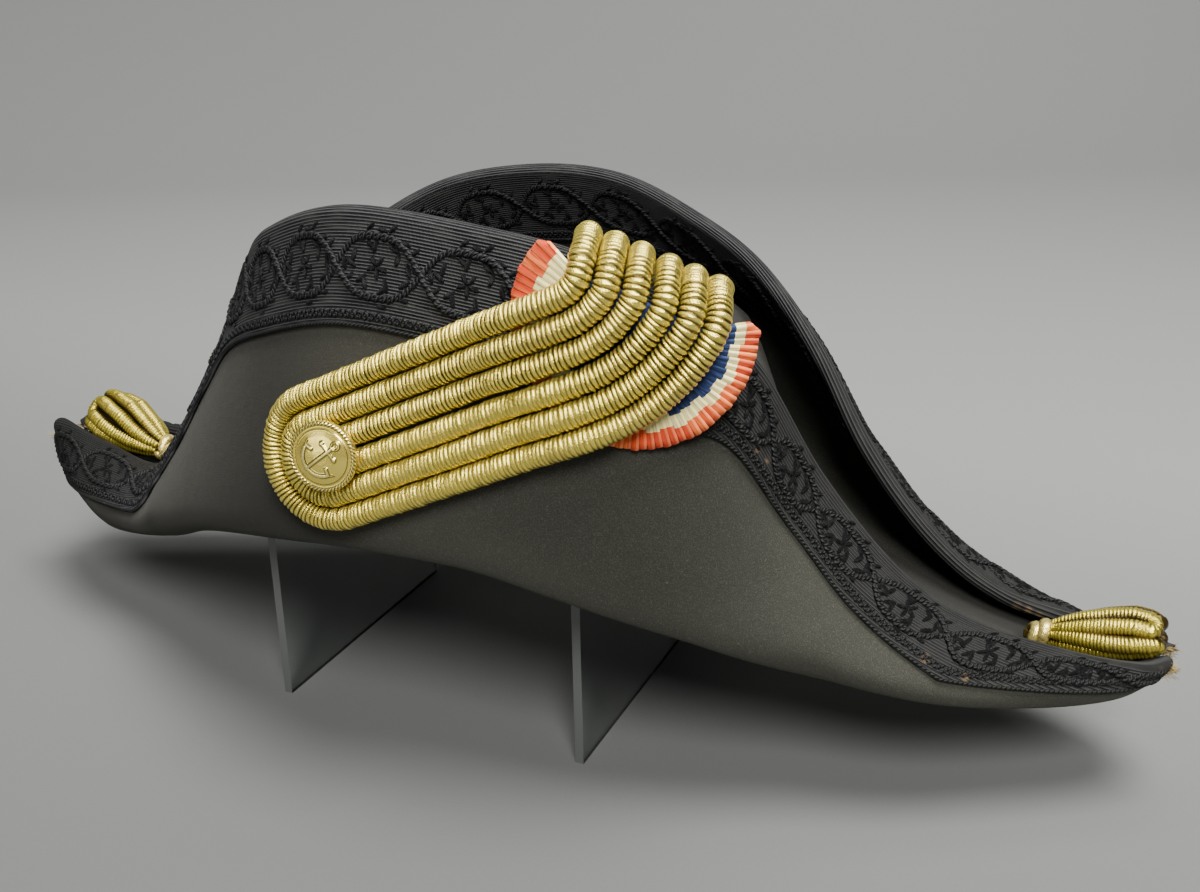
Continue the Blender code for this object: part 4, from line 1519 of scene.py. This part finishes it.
@dataclass
class Ganse:
    """One of the three nested cords of gold coil. Level 0 is the inner one."""

    form: HatForm
    flat: NearFlap
    level: int
    node: str
    finish: BullionFinish = BullionFinish("gold_bullion")
    cord_radius: float = 0.00340
    pitch: float = 0.00750
    inner: tuple[float, float] = (0.00015, 0.00012)
    tilt: float = math.radians(25.0)
    bend_radius: float = 0.0350
    bend_widens: float = 1.25
    tuck: float = 0.008
    curl_at: tuple[int, ...] = (25, 55, 90, 125, 155, 180)
    rise: float = 1.25
    deepens: float = 1.18
    fuller: float = 0.27 * MM
    over: float = 0.0006
    coil: float = 1.42 * MM
    ring: float = 0.18 * MM
    depth: float = 0.80 * MM
    uneven: float = 0.16 * MM
    pressed: tuple[tuple[float, ...], ...] = ((0.50, 0.60, 0.76, 0.84), (1.0, 0.62, 0.66, 1.0))
    sides: int = 20

    def loop_centre(self) -> Array:
        """The middle of the loops' round end on the flap laid flat."""
        return np.array((-0.0776 * self.form.half_length, 0.616 * self.form.flap_top))

    def bend_at(self) -> float:
        """How far along the flap the cords turn up to its edge."""
        return 0.390 * self.form.half_length

    def crest(self, x: float) -> float:
        """The height that a cord has to clear where it passes over the edge."""
        return max(self.flat.edge_at(x + shift)[2] for shift in (-self.cord_radius, 0, self.cord_radius))

    def strand(self, offset: float) -> Array:
        """Draws one strand from the loop's end up to the flap's edge, laid flat.

        Args:
            offset: How far it lies from the middle of the band of strands.

        Returns:
            Its points: distance along the flap, and height.
        """
        along = heading(self.tilt)
        start = self.loop_centre() + np.array((-along[1], along[0])) * offset
        turn = math.pi / 2 - self.tilt
        radius = self.bend_radius - self.bend_widens * offset
        upright = self.bend_at() - offset
        corner = (upright - start[0]) / along[0]
        half_turn = radius * math.tan(turn / 2)
        pivot = np.array((upright - radius, start[1] + corner * along[1] + half_turn))
        path = [start + along * t for t in np.linspace(0, corner - half_turn, 22)]
        path += [pivot + radius * heading(angle) for angle in np.linspace(-turn, 0, 15)[1:]]
        path += [path[-1] + np.array((0, 0.002 * k)) for k in range(1, 12)]
        path = even(np.array(path), 0.001)
        below = [z < self.crest(x) + self.over for x, z in path]
        return path[: int(np.argmin(below))]

    def laid_on(self, tree: BVHTree, path: Array, radius: float) -> Array:
        """Lays a cord on what is behind it, evened out along its length.

        Args:
            tree: What lies behind.
            path: Its points: distance along the flap, and height.
            radius: Its radius.

        Returns:
            The same line with its y.
        """
        path = even(path, 0.0015)
        steps = np.gradient(path, axis=0)
        steps /= np.linalg.norm(steps, axis=1, keepdims=True)
        sides = np.stack((-steps[:, 1], steps[:, 0]), axis=1) * radius
        near = np.full(len(path), np.inf)
        for shift in np.linspace(-1, 1, 9):
            lift = radius * (1 - math.sqrt(1 - shift**2))
            for k, (x, z) in enumerate(path + shift * sides):
                near[k] = min(near[k], self.flat.front(tree, x, z, math.inf) + lift)
        deep = settled(near, 3) - radius - 1.5 * self.form.gap
        return np.stack((path[:, 0], deep, path[:, 1]), axis=1)

    def curl(self, last: Array, upright: float, radius: float) -> Array:
        """Takes a cord over the flap's edge and down its inner face.

        Args:
            last: The cord's last point, laid flat.
            upright: Where along the flap it ends.
            radius: Its radius.

        Returns:
            The points that follow.
        """
        form = self.form
        edge = self.flat.edge_at(last[0])
        edge[2] = self.crest(last[0])
        clear = form.felt / 2 + form.gap + form.braid + form.gap + radius
        turns = []
        for degrees in self.curl_at:
            angle = math.radians(degrees)
            wide = edge[1] - last[1] if degrees < 90 else clear * self.deepens
            x = last[0] + (upright - last[0]) * min(degrees / 125, 1)
            turns.append((x, edge[1] - wide * math.cos(angle), edge[2] + self.rise * clear * math.sin(angle)))
        turns.append((upright, turns[-1][1], edge[2] - self.tuck))
        turns = np.array(turns)
        behind = np.maximum(turns[:, 1] - self.flat.turn_y - 0.5 * form.centre_shift, 0)
        spread = self.flat.turn_radius / (self.flat.turn_radius - behind)
        turns[:, 0] = self.bend_at() + (turns[:, 0] - self.bend_at()) * spread
        return turns

    def path(self) -> tuple[Array, float]:
        """Works out the cord's middle line.

        Returns:
            Its points close together and evenly spaced, and its radius.
        """
        thinner, wider = self.inner if self.level == 0 else (0, 0)
        radius = self.cord_radius - thinner
        reach = (self.level + 0.5) * self.pitch + wider
        halves = [self.strand(side * reach) for side in (1, -1)]
        angles = [self.tilt + math.pi / 2 + math.pi * k / 12 for k in range(1, 12)]
        arc = [self.loop_centre() + reach * heading(angle) for angle in angles]
        tree = self.flat.tree("felt_body", "galon_near", "cockade")
        laid = self.laid_on(tree, np.vstack((halves[0][::-1], arc, halves[1])), radius)
        first = self.curl(laid[0], self.bend_at() - reach, radius)
        last = self.curl(laid[-1], self.bend_at() + reach, radius)
        path = self.flat.turned_back(np.vstack((first[::-1], laid, last)))
        return even(softened(even(path, 1 * MM), 3), self.ring), radius

    def build(self) -> None:
        """Builds the coiled cord and dresses it."""
        path, radius = self.path()
        run = np.arange(len(path)) * self.ring
        share = run / run[-1]
        random = np.random.default_rng(20 + self.level)
        phase = np.cumsum(self.ring / (self.coil * (1 + 0.10 * np.clip((share - 0.80) / 0.12, 0, 1))))
        phase += 0.10 * drifting(run, random, -1, 90)
        turn = np.linspace(0, TURN, self.sides + 1)
        wound = phase[:, None] + turn[None] / TURN
        wobble = 0.10 * np.sin(2 * turn[None] + 1.9 * np.floor(phase)[:, None])
        round_it = np.abs(np.sin(math.pi * (wound + wobble))) ** 1.1
        proud = self.uneven * random.uniform(-1, 1, int(phase[-1]) + 3)[wound.astype(int)]
        strength = 0.75 + 0.25 * drifting(run, random, 0, 70)
        strength = (strength * np.interp(share, *self.pressed))[:, None]
        _, across, above = carried_along(path)
        facing = spokes(across, above, turn)
        upper = 0.62 + 0.38 * np.clip(facing[..., 2] * 1.4 + 0.2, 0, 1)
        radii = radius - self.depth * strength * upper * (1 - round_it) + self.fuller + proud * round_it
        radii[:, -1] = radii[:, 0]
        places, marks = tube_grid(path, radii, sides=self.sides)
        # painted shade: the side that faces the flap is darkened, and level also darkens the grooves
        shade = 0.25 + 0.75 * (1 - np.abs(capped(facing)[..., 1] + 1) * 0.35)
        level = capped(1 - strength * (1 - round_it)) * shade
        piece = grid_piece(f"{self.node}_coil", places, marks, True, level)
        dress(piece, self.finish, (self.node,))


@dataclass
class Button:
    """The domed gilt button: a cable rim, a thin inner ring and a plain anchor in relief."""

    node: str = "button"
    finish: GiltFinish = GiltFinish("gilt_button")
    radius: float = 0.0104
    height: float = 0.0046
    centre: tuple[float, float] = (-0.0502 * 0.219, 0.640 * 0.1875)
    turned: tuple[float, float] = (8.0, 8.0)
    profile: tuple[tuple[float, float], ...] = (
        (0.00, 1.00), (0.30, 0.97), (0.55, 0.88), (0.74, 0.74), (0.82, 0.64), (0.86, 0.72), (0.93, 0.74),
        (1.00, 0.60), (1.00, 0.30), (0.94, 0.06), (0.80, 0.00), (0.00, 0.00),
    )
    dome: tuple[tuple[float, float], ...] = (
        (0.00, 1.00), (0.20, 0.988), (0.40, 0.945), (0.60, 0.860), (0.74, 0.765), (0.80, 0.700),
        (0.845, 0.655), (0.875, 0.680), (0.94, 0.700), (0.985, 0.640), (1.00, 0.560), (1.00, 0.300),
        (0.94, 0.060), (0.80, 0.0), (0.00, 0.00),
    )
    twists: int = 54
    lean: float = 52.0
    anchor_size: float = 1.25
    relief: float = 0.42 * MM
    ring_relief: float = 0.16 * MM
    cable_at: float = 0.935
    ring_at: float = 0.775

    def facing(self) -> Matrix:
        """Which way the button looks."""
        sideways, upwards = (math.radians(v) for v in self.turned)
        return Matrix.Rotation(sideways, 3, "Z") @ Matrix.Rotation(math.pi / 2 - upwards, 3, "X")

    def anchor(self, x: Array, y: Array) -> Array:
        """Raises an anchor of plain strokes.

        Args:
            x: Shares of the radius sideways.
            y: Shares of the radius upwards.

        Returns:
            1 on the anchor and 0 off it, with soft sides.
        """
        x, y = (side / self.anchor_size for side in rotated(x, y, math.radians(self.lean)))

        def stroke(x0: float, y0: float, x1: float, y1: float, thick: float) -> Array:
            """How deep each place lies inside one straight stroke.

            Args:
                x0: Where it starts sideways.
                y0: Where it starts upwards.
                x1: Where it ends sideways.
                y1: Where it ends upwards.
                thick: Half its thickness.

            Returns:
                A depth for each place.
            """
            dx, dy = x1 - x0, y1 - y0
            share = np.clip(((x - x0) * dx + (y - y0) * dy) / (dx**2 + dy**2), 0, 1)
            return thick - np.hypot(x - x0 - share * dx, y - y0 - share * dy)

        away = np.hypot(x, y - 0.02)
        low = np.clip(-(y - 0.02) / np.maximum(away, 1e-6), 0, 1)
        parts = [
            stroke(0, -0.44, 0, 0.36, 0.062), stroke(-0.22, 0.24, 0.22, 0.24, 0.052),
            0.070 * np.clip((low - 0.25) * 8, 0, 1) - np.abs(away - 0.43),
            0.044 - np.abs(np.hypot(x, y - 0.455) - 0.085),
            stroke(-0.42, -0.10, -0.28, -0.04, 0.062), stroke(0.42, -0.10, 0.28, -0.04, 0.062),
            stroke(-0.42, -0.12, -0.49, 0.00, 0.040), stroke(0.42, -0.12, 0.49, 0.00, 0.040),
            0.072 - np.hypot(np.abs(x) - 0.23, y - 0.24),
        ]
        return np.clip(np.max(parts, axis=0) / 0.045, 0, 1)

    def build(self) -> None:
        """Turns the button, presses its relief and sets it where the part has it."""
        knots = np.array(self.dome)
        run = run_along(knots)
        brow, rim, back = run[6], run[10], run[-1]
        fine = np.unique(np.r_[
            np.linspace(0, brow, 52), np.linspace(brow, rim, 20), np.linspace(rim, back, 6),
        ])
        share, high = (column[:, None] for column in read_at(knots, run, fine).T)
        turn = np.linspace(0, TURN, 289)
        x, y = share * np.cos(turn), share * np.sin(turn)
        face = (fine < rim)[:, None]
        cable = np.clip(1 - np.abs(share - self.cable_at) / 0.065, 0, 1) ** 0.6
        lay = np.abs(np.sin(0.5 * (self.twists * turn[None] + 52 * (share - self.cable_at)))) ** 0.7
        ring = np.clip(1 - np.abs(share - self.ring_at) / 0.020, 0, 1)
        anchor = self.anchor(x, y)
        lift = self.relief * (anchor + cable * (lay - 0.35)) + self.ring_relief * ring
        high = np.broadcast_to(high, x.shape) * self.height + np.where(face, lift, 0)
        local = np.stack((x * self.radius, y * self.radius, high), axis=2)
        plain = np.array([
            (*r * self.radius * heading(t), h * self.height)
            for r, h in self.profile for t in np.linspace(0, TURN, 23)
        ])
        facing = np.array(self.facing()).T
        lowest = part_points(self.node).min(axis=0)[1] - (plain @ facing)[:, 1].min()
        places = local @ facing + (self.centre[0], lowest, self.centre[1])
        # level: the relief's height, which the gilt finish turns into painted shade on the slopes and a
        # painted highlight on the tops
        level = np.where(face, np.maximum(anchor, ring), 0)
        level = np.where(face & (cable > 0), lay, level)
        piece = grid_piece("button_face", places, np.stack((x, y), axis=2) * self.radius, True, level)
        dress(piece, self.finish, (self.node,))


# A row for each tassel: where its fan lies, as shares of the half length, half width and the flap's top,
# the way it points, how broad it is, how far its strands wind round it in turns, how far its top is raised
# and its knot lowered in metres, and how many loops it has.
TASSELS = {
    "tassel_front": ((0.962, 0.000, 0.318), (1.0, 0.0, 0.084), 1.00, 0.06, 0.0, 0.0052, 4),
    "tassel_rear": ((-0.867, 0.020, 0.395), (-1.0, 0.056, 0.322), 1.12, 0.14, 0.0062, 0.0, 5),
}


@dataclass
class Tassel:
    """A bundle of gold coil loops with its twisted knot, in the form of the part's body."""

    form: HatForm
    node: str
    held: Triple
    pointing: Triple
    broad: float
    winds: float
    raised: float
    droop: float
    loops: int
    finish: BullionFinish = BullionFinish("tassel_bullion", (0.64, 0.52, 0.062), (0.045, 0.028, 0.004))
    knot_finish: BullionFinish = BullionFinish("pale_bullion", (0.95, 0.78, 0.24), (0.16, 0.11, 0.02))
    length: float = 0.042
    half_width: float = 0.0112
    half_height: float = 0.0078
    strand: float = 2.85 * MM
    coil: float = 1.12 * MM
    depth: float = 0.36 * MM
    ring: float = 0.25 * MM
    profile: tuple[Triple, ...] = (
        (0.00, 0.10, 0.12), (0.02, 0.30, 0.42), (0.07, 0.42, 0.62), (0.12, 0.38, 0.55), (0.14, 0.40, 0.60),
        (0.19, 0.50, 0.72), (0.24, 0.44, 0.62), (0.30, 0.60, 0.74), (0.45, 0.82, 0.92), (0.62, 0.96, 1.00),
        (0.78, 1.00, 0.98), (0.90, 0.92, 0.86), (0.97, 0.74, 0.62), (1.00, 0.42, 0.34),
    )
    bulge: tuple[tuple[float, ...], ...] = ((0.12, 0.40, 0.62, 0.85, 1.0), (0, 0.55, 1.0, 0.95, 0.75))
    root: float = 0.20
    tip: float = 0.935
    knot_turns: float = 2.2
    knot_strand: float = 2.25 * MM
    knot_depth: float = 0.14 * MM

    def axes(self) -> tuple[Array, Array, Array, Array]:
        """The knot's end, and the directions along, across and upwards.

        Returns:
            A place and three directions.
        """
        along = np.array(self.pointing) / np.linalg.norm(self.pointing)
        across = np.cross((0, 0, 1), along)
        across /= np.linalg.norm(across)
        form = self.form
        start = np.array(self.held) * (form.half_length, form.half_width, form.flap_top)
        start += (0, form.centre_shift, 0)
        return start - along * self.length * 0.9, along, across, np.cross(along, across)

    def spans(self, share: Array, tall: float) -> tuple[Array, Array]:
        """Half the bundle's width, and half its height, where it is this tall, at shares of its length.

        Args:
            share: Shares of its length.
            tall: Half its height at its fullest.

        Returns:
            Both for each share.
        """
        table = np.array(self.profile)
        wide, high = (np.interp(share, table[:, 0], table[:, k]) for k in (1, 2))
        return wide * self.broad * self.half_width, high * tall

    def on(self, share: Array, angle: Array, inset: Array | float) -> Array:
        """Finds points on the bundle's form.

        Args:
            share: Shares of its length.
            angle: Angles round it.
            inset: How far inside its face.

        Returns:
            A point for each, before the bundle is laid down.
        """
        start, along, across, upward = self.axes()
        wide, high = (span - inset for span in self.spans(share, self.half_height))
        high = high + self.raised * np.interp(share, *self.bulge) * np.clip(np.sin(angle), 0, 1)
        return (
            start + along * (share * self.length)[..., None]
            - np.array((0, 0, 1)) * (self.droop * np.clip(1 - share / 0.8, 0, 1))[..., None]
            + across * (np.maximum(wide, 0.2 * MM) * np.cos(angle))[..., None]
            + upward * (np.maximum(high, 0.2 * MM) * np.sin(angle))[..., None]
        )

    def laid(self) -> Array:
        """How far the part's body was laid down from where its table puts it.

        Returns:
            The shift.
        """
        table = np.array(self.profile)
        angle = np.linspace(0, TURN, 21)
        ridge = 0.055 * np.clip((table[:, :1] - 0.24) / 0.3, 0, 1) * (table[:, :1] < 1)
        swell = 1 + ridge * np.cos(7 * angle[None])
        start, along, across, upward = self.axes()
        own = (
            start + along * (table[:, :1, None] * self.length)
            + across * (table[:, 1:2] * self.broad * self.half_width * swell * np.cos(angle))[..., None]
            + upward * (table[:, 2:] * self.half_height * swell * np.sin(angle))[..., None]
        )
        return part_points(self.node).min(axis=0) - own.reshape(-1, 3).min(axis=0)

    def room(self, share: Array) -> Array:
        """The radius that the strands have side by side at these shares of the length.

        Args:
            share: Shares of the length.

        Returns:
            A radius for each.
        """
        wide, high = self.spans(share, self.half_height + 0.6 * self.raised)
        spread = math.pi / (2 * self.loops)
        return np.minimum(np.sqrt((wide**2 + high**2) / 2) * spread / (1 + 0.6 * spread), self.strand)

    def coiled(self, path: Array, radii: Array, slant: float, depth: float) -> Piece:
        """Builds one coil of gold thread round a path.

        Args:
            path: Its middle line.
            radii: Its radius over the ridges at each point.
            slant: How far a ridge leans, in turns.
            depth: How deep the grooves are.

        Returns:
            The piece.
        """
        spaced = even(np.column_stack((path, radii)), self.ring)
        path, radius = spaced[:, :3], spaced[:, 3]
        run = np.arange(len(path)) * self.ring
        turn = np.linspace(0, TURN, 13)
        height = np.abs(np.sin(math.pi * (run[:, None] / self.coil + slant * turn[None] / TURN))) ** 0.7
        ends = np.clip(np.minimum(run, run[-1] - run) / radius, 0, 1)
        round_off = np.sqrt(1 - (1 - ends) ** 2)[:, None]
        places, marks = tube_grid(path, (radius[:, None] - depth * (1 - height)) * round_off, sides=12)
        start, along, _, _ = self.axes()
        off = path - start - self.laid()
        off[:, 2] += self.droop * np.clip(1 - (off @ along) / (0.8 * self.length), 0, 1)
        outward = off - (off @ along)[:, None] * along
        outward /= np.maximum(np.linalg.norm(outward, axis=1, keepdims=True), 1e-6)
        away = places[1:-1] - path[:, None]
        away /= np.maximum(np.linalg.norm(away, axis=2, keepdims=True), 1e-6)
        # painted shade: the sides of each strand that face into the bundle, and the grooves, get a lower
        # level and so the gold's dark
        facing = np.clip(0.10 + 1.15 * (away * outward[:, None]).sum(axis=2), 0, 1)
        level = (0.25 + 0.75 * height) * facing
        return grid_piece("coil", places, marks, True, capped(level))

    def build(self) -> None:
        """Builds the core, the loops and the knot, and dresses them."""
        laid = self.laid()
        share, angle = np.meshgrid(np.linspace(self.root, 0.955, 24), np.linspace(0, TURN, 33), indexing="ij")
        core = pointed(self.on(share, angle, 1.5 * self.room(share)) + laid)
        # the core's level is 0, so the finish paints it wholly dark: painted shade between the loops
        pieces = [grid_piece("core", core, np.zeros((*core.shape[:2], 2)), True, np.zeros(core.shape[:2]))]
        random = np.random.default_rng(len(self.node))
        step = math.pi / self.loops
        for k in range(self.loops):
            end = self.tip - 0.045 * random.random()
            out = np.linspace(self.root, end, 40)
            bend = np.linspace(0, math.pi, 14)[1:-1]
            shares = np.r_[out, end + 0.045 * np.sin(bend), out[::-1]]
            sides = np.r_[np.full(40, -1.0), -np.cos(bend), np.full(40, 1.0)]
            sway = 0.10 * math.sin(k * 2.4) * np.sin(shares * 6)
            angles = 2 * step * k + 0.5 * step * sides + TURN * self.winds * shares + sway
            radii = self.room(shares)
            path = self.on(shares, angles, radii) + laid
            pieces.append(self.coiled(path, radii, 1.0 if k % 2 else -1.0, self.depth))
        dress(joined(f"{self.node}_loops", pieces), self.finish, (self.node,))
        turns = np.linspace(0, 1, 60)
        angle = TURN * (self.knot_turns * turns - 0.2)
        winding = self.on(0.055 + 0.14 * turns + 0.030 * np.sin(angle), angle, 2.3 * MM) + laid
        knot = self.coiled(winding, np.full(60, self.knot_strand), 3.0, self.knot_depth)
        knot.name = knot.data.name = f"{self.node}_knot"
        dress(knot, self.knot_finish)


@dataclass(frozen=True)
class StrawFinish(Finish):
    """Dry straw-coloured fibres of the worn binding."""

    colour: Triple = (0.38, 0.29, 0.11)
    dark: Triple = (0.16, 0.09, 0.045)

    def mixed(self, mix: Recipe) -> None:
        """Writes the fibres' recipe.

        Args:
            mix: The recipe.
        """
        mix.base = mix.blend(mix.between(mix.noise(300.0, 2.0), 0.4, 0.65), self.colour, self.dark)
        mix.set(Base_Color=mix.base, Roughness=0.8, Specular_IOR_Level=0.2)


@dataclass
class Fray:
    """Loose fibres of the worn binding at the horns' two tips."""

    form: HatForm
    finish: StrawFinish = StrawFinish("dry_fibre")
    fibres: int = 340
    longest: float = 5.2 * MM
    thickness: float = 0.20 * MM
    rooted: float = 1.5 * MM

    def fibre(self, base: Array, way: Array, length: float, random: np.random.Generator) -> Array:
        """Bends one fibre away from its root.

        Args:
            base: Its root.
            way: The way it points.
            length: Its length.
            random: The source of its bends.

        Returns:
            Its rings: five of three points.
        """
        share = np.linspace(0, 1, 5)[:, None]
        path = base + way * share * length + random.normal(0, 0.16, 3) * length * share**2
        ahead = path[-1] - path[0]
        aside = np.cross(ahead, random.normal(0, 1, 3))
        aside /= np.linalg.norm(aside)
        other = np.cross(ahead / np.linalg.norm(ahead), aside)
        thin = self.thickness * (1 - 0.7 * share)
        corners = [aside * math.cos(angle) + other * math.sin(angle) for angle in (0, 2.1, 4.2)]
        return np.stack([path + thin * corner for corner in corners], axis=1)

    def build(self) -> None:
        """Builds the fibres of both tips in one piece and dresses it."""
        random = np.random.default_rng(3)
        corners, faces = [], []
        points, normals = self.form.surface(self.form.plain_rows, 1)
        for row, way, many in ((-1, 1.0, self.fibres), (0, -1.0, self.fibres // 2)):
            for _ in range(many):
                spot = int(random.triangular(0, 0, 4)) * random.choice((1, -1)) - int(random.random() < 0.1)
                here, face = points[row, spot], normals[row, spot]
                off = face * random.uniform(-2.4, 2.4) * MM
                lean = np.array((way, random.normal(-0.15, 0.35), random.normal(-0.10, 0.45)))
                lean /= np.linalg.norm(lean)
                start, length = here + off - lean * self.rooted, self.longest * random.uniform(0.4, 1)
                rings = self.fibre(start, lean, length, random)
                base = len(corners)
                corners += [tuple(p) for ring in rings for p in ring]
                for i, j in itertools.product(range(4), range(3)):
                    a, b = base + 3 * i + j, base + 3 * i + (j + 1) % 3
                    faces.append((a, b, b + 3, a + 3))
                faces += [(base + 2, base + 1, base), (base + 12, base + 13, base + 14)]
        dress(mesh_piece("tip_fibres", corners, faces), self.finish)


@dataclass
class Riser:
    """The clear stand: the part's own solid with the acrylic's finish."""

    node: str = "riser"
    finish: AcrylicFinish = AcrylicFinish("clear_acrylic_sheet")

    def build(self) -> None:
        """Dresses the part's riser."""
        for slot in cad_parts[self.node].material_slots:
            slot.material = self.finish.material()
        log.info("%s: kept from the part", self.node)


@dataclass
class Studio:
    """Floor, soft lights and the camera at the photograph's angle."""

    azimuth: float = math.radians(24.30)
    pitch: float = math.radians(21.94)
    roll: float = math.radians(-1.081)
    eye: Triple = (0.215, -0.4065, 0.2726)
    lens: float = 42.68
    sensor: float = 36.0
    lamps: tuple[tuple[str, Triple, Triple, float, float], ...] = (
        ("key", (0.50, -0.25, 1.70), HAT, 0.80, 60.0),
        ("fill", (0.75, -1.30, 1.45), HAT, 0.70, 52.0),
        ("card", (-0.55, -1.60, 0.40), HAT, 0.80, 5.0),
        ("back", (0.10, 0.35, 1.50), (-0.45, 1.5, 0.35), 0.90, 14.0),
    )
    air: Triple = (0.9, 0.95, 1.0)
    air_power: float = 0.045

    def floor_ways(self) -> tuple[Vector, Vector]:
        """The directions to the camera's right and away from it, along the floor."""
        cos, sin = math.cos(self.azimuth), math.sin(self.azimuth)
        return Vector((cos, sin, 0)), Vector((-sin, cos, 0))

    def camera(self) -> None:
        """Sets the camera up."""
        right, _ = self.floor_ways()
        cos_p, sin_p = math.cos(self.pitch), math.sin(self.pitch)
        ahead = Vector((-math.sin(self.azimuth) * cos_p, math.cos(self.azimuth) * cos_p, -sin_p))
        above = right.cross(ahead)
        side = right * math.cos(self.roll) + above * math.sin(self.roll)
        up = above * math.cos(self.roll) - right * math.sin(self.roll)
        data = bpy.data.cameras.new("view")
        data.lens, data.sensor_width, data.sensor_fit = self.lens, self.sensor, "HORIZONTAL"
        data.clip_start = 0.01
        eye = bpy.data.objects.new("view", data)
        eye.matrix_world = Matrix.Translation(self.eye) @ Matrix((side, up, -ahead)).transposed().to_4x4()
        bpy.context.scene.collection.objects.link(eye)
        bpy.context.scene.camera = eye

    def floor(self) -> None:
        """Lays a floor that rises into a backdrop behind the hat."""
        aside, ahead = self.floor_ways()
        turns = np.linspace(0, math.pi / 2, 12)[1:]
        bend = [(0.9 + 0.6 * math.sin(t), 0.6 - 0.6 * math.cos(t)) for t in turns]
        profile = [(-1.6, 0.0), (0.9, 0.0), *bend, (1.5, 2.6)]
        places = np.array([
            [ahead * y + aside * x + Vector((0, 0, z)) for x in (-2.2, 2.2)] for y, z in profile
        ])
        sheet = grid_piece("backdrop", places, np.zeros((*places.shape[:2], 2)))
        sheet.data.materials.append(BackdropFinish("pale_paper").material())

    def light(self, name: str, place: Triple, at: Triple, size: float, power: float) -> None:
        """Hangs one soft light that looks at a place.

        Args:
            name: Its name.
            place: Where it hangs.
            at: What it looks at.
            size: How wide it is.
            power: Its power in watts.
        """
        data = bpy.data.lights.new(name, "AREA")
        data.shape, data.size, data.energy = "DISK", size, power
        lamp = bpy.data.objects.new(name, data)
        lamp.location = place
        lamp.rotation_euler = (Vector(at) - Vector(place)).to_track_quat("-Z", "Y").to_euler()
        bpy.context.scene.collection.objects.link(lamp)

    def build(self) -> None:
        """Builds the whole set."""
        self.camera()
        self.floor()
        for lamp in self.lamps:
            self.light(*lamp)
        world = bpy.data.worlds.new("room")
        world.use_nodes = True
        inputs = world.node_tree.nodes["Background"].inputs
        inputs[0].default_value, inputs[1].default_value = (*self.air, 1.0), self.air_power
        bpy.context.scene.world = world


def main() -> None:
    """Builds the looks, piece by piece."""
    logging.basicConfig(level=logging.INFO, format="%(message)s")
    form = HatForm()
    Studio().build()
    FeltBody(form).build()
    for flap, node in ((Flap.NEAR, "galon_near"), (Flap.FAR, "galon_far")):
        Galon(form, flap, BandMap(form, flap), node).build()
    flat = NearFlap(form)
    Cockade(form, flat).build()
    for level, node in enumerate(("ganse_inner", "ganse_middle", "ganse_outer")):
        Ganse(form, flat, level, node).build()
    Button().build()
    for node, laid in TASSELS.items():
        Tassel(form, node, *laid).build()
    Fray(form).build()
    Riser().build()


if __name__ == "__main__":
    main()
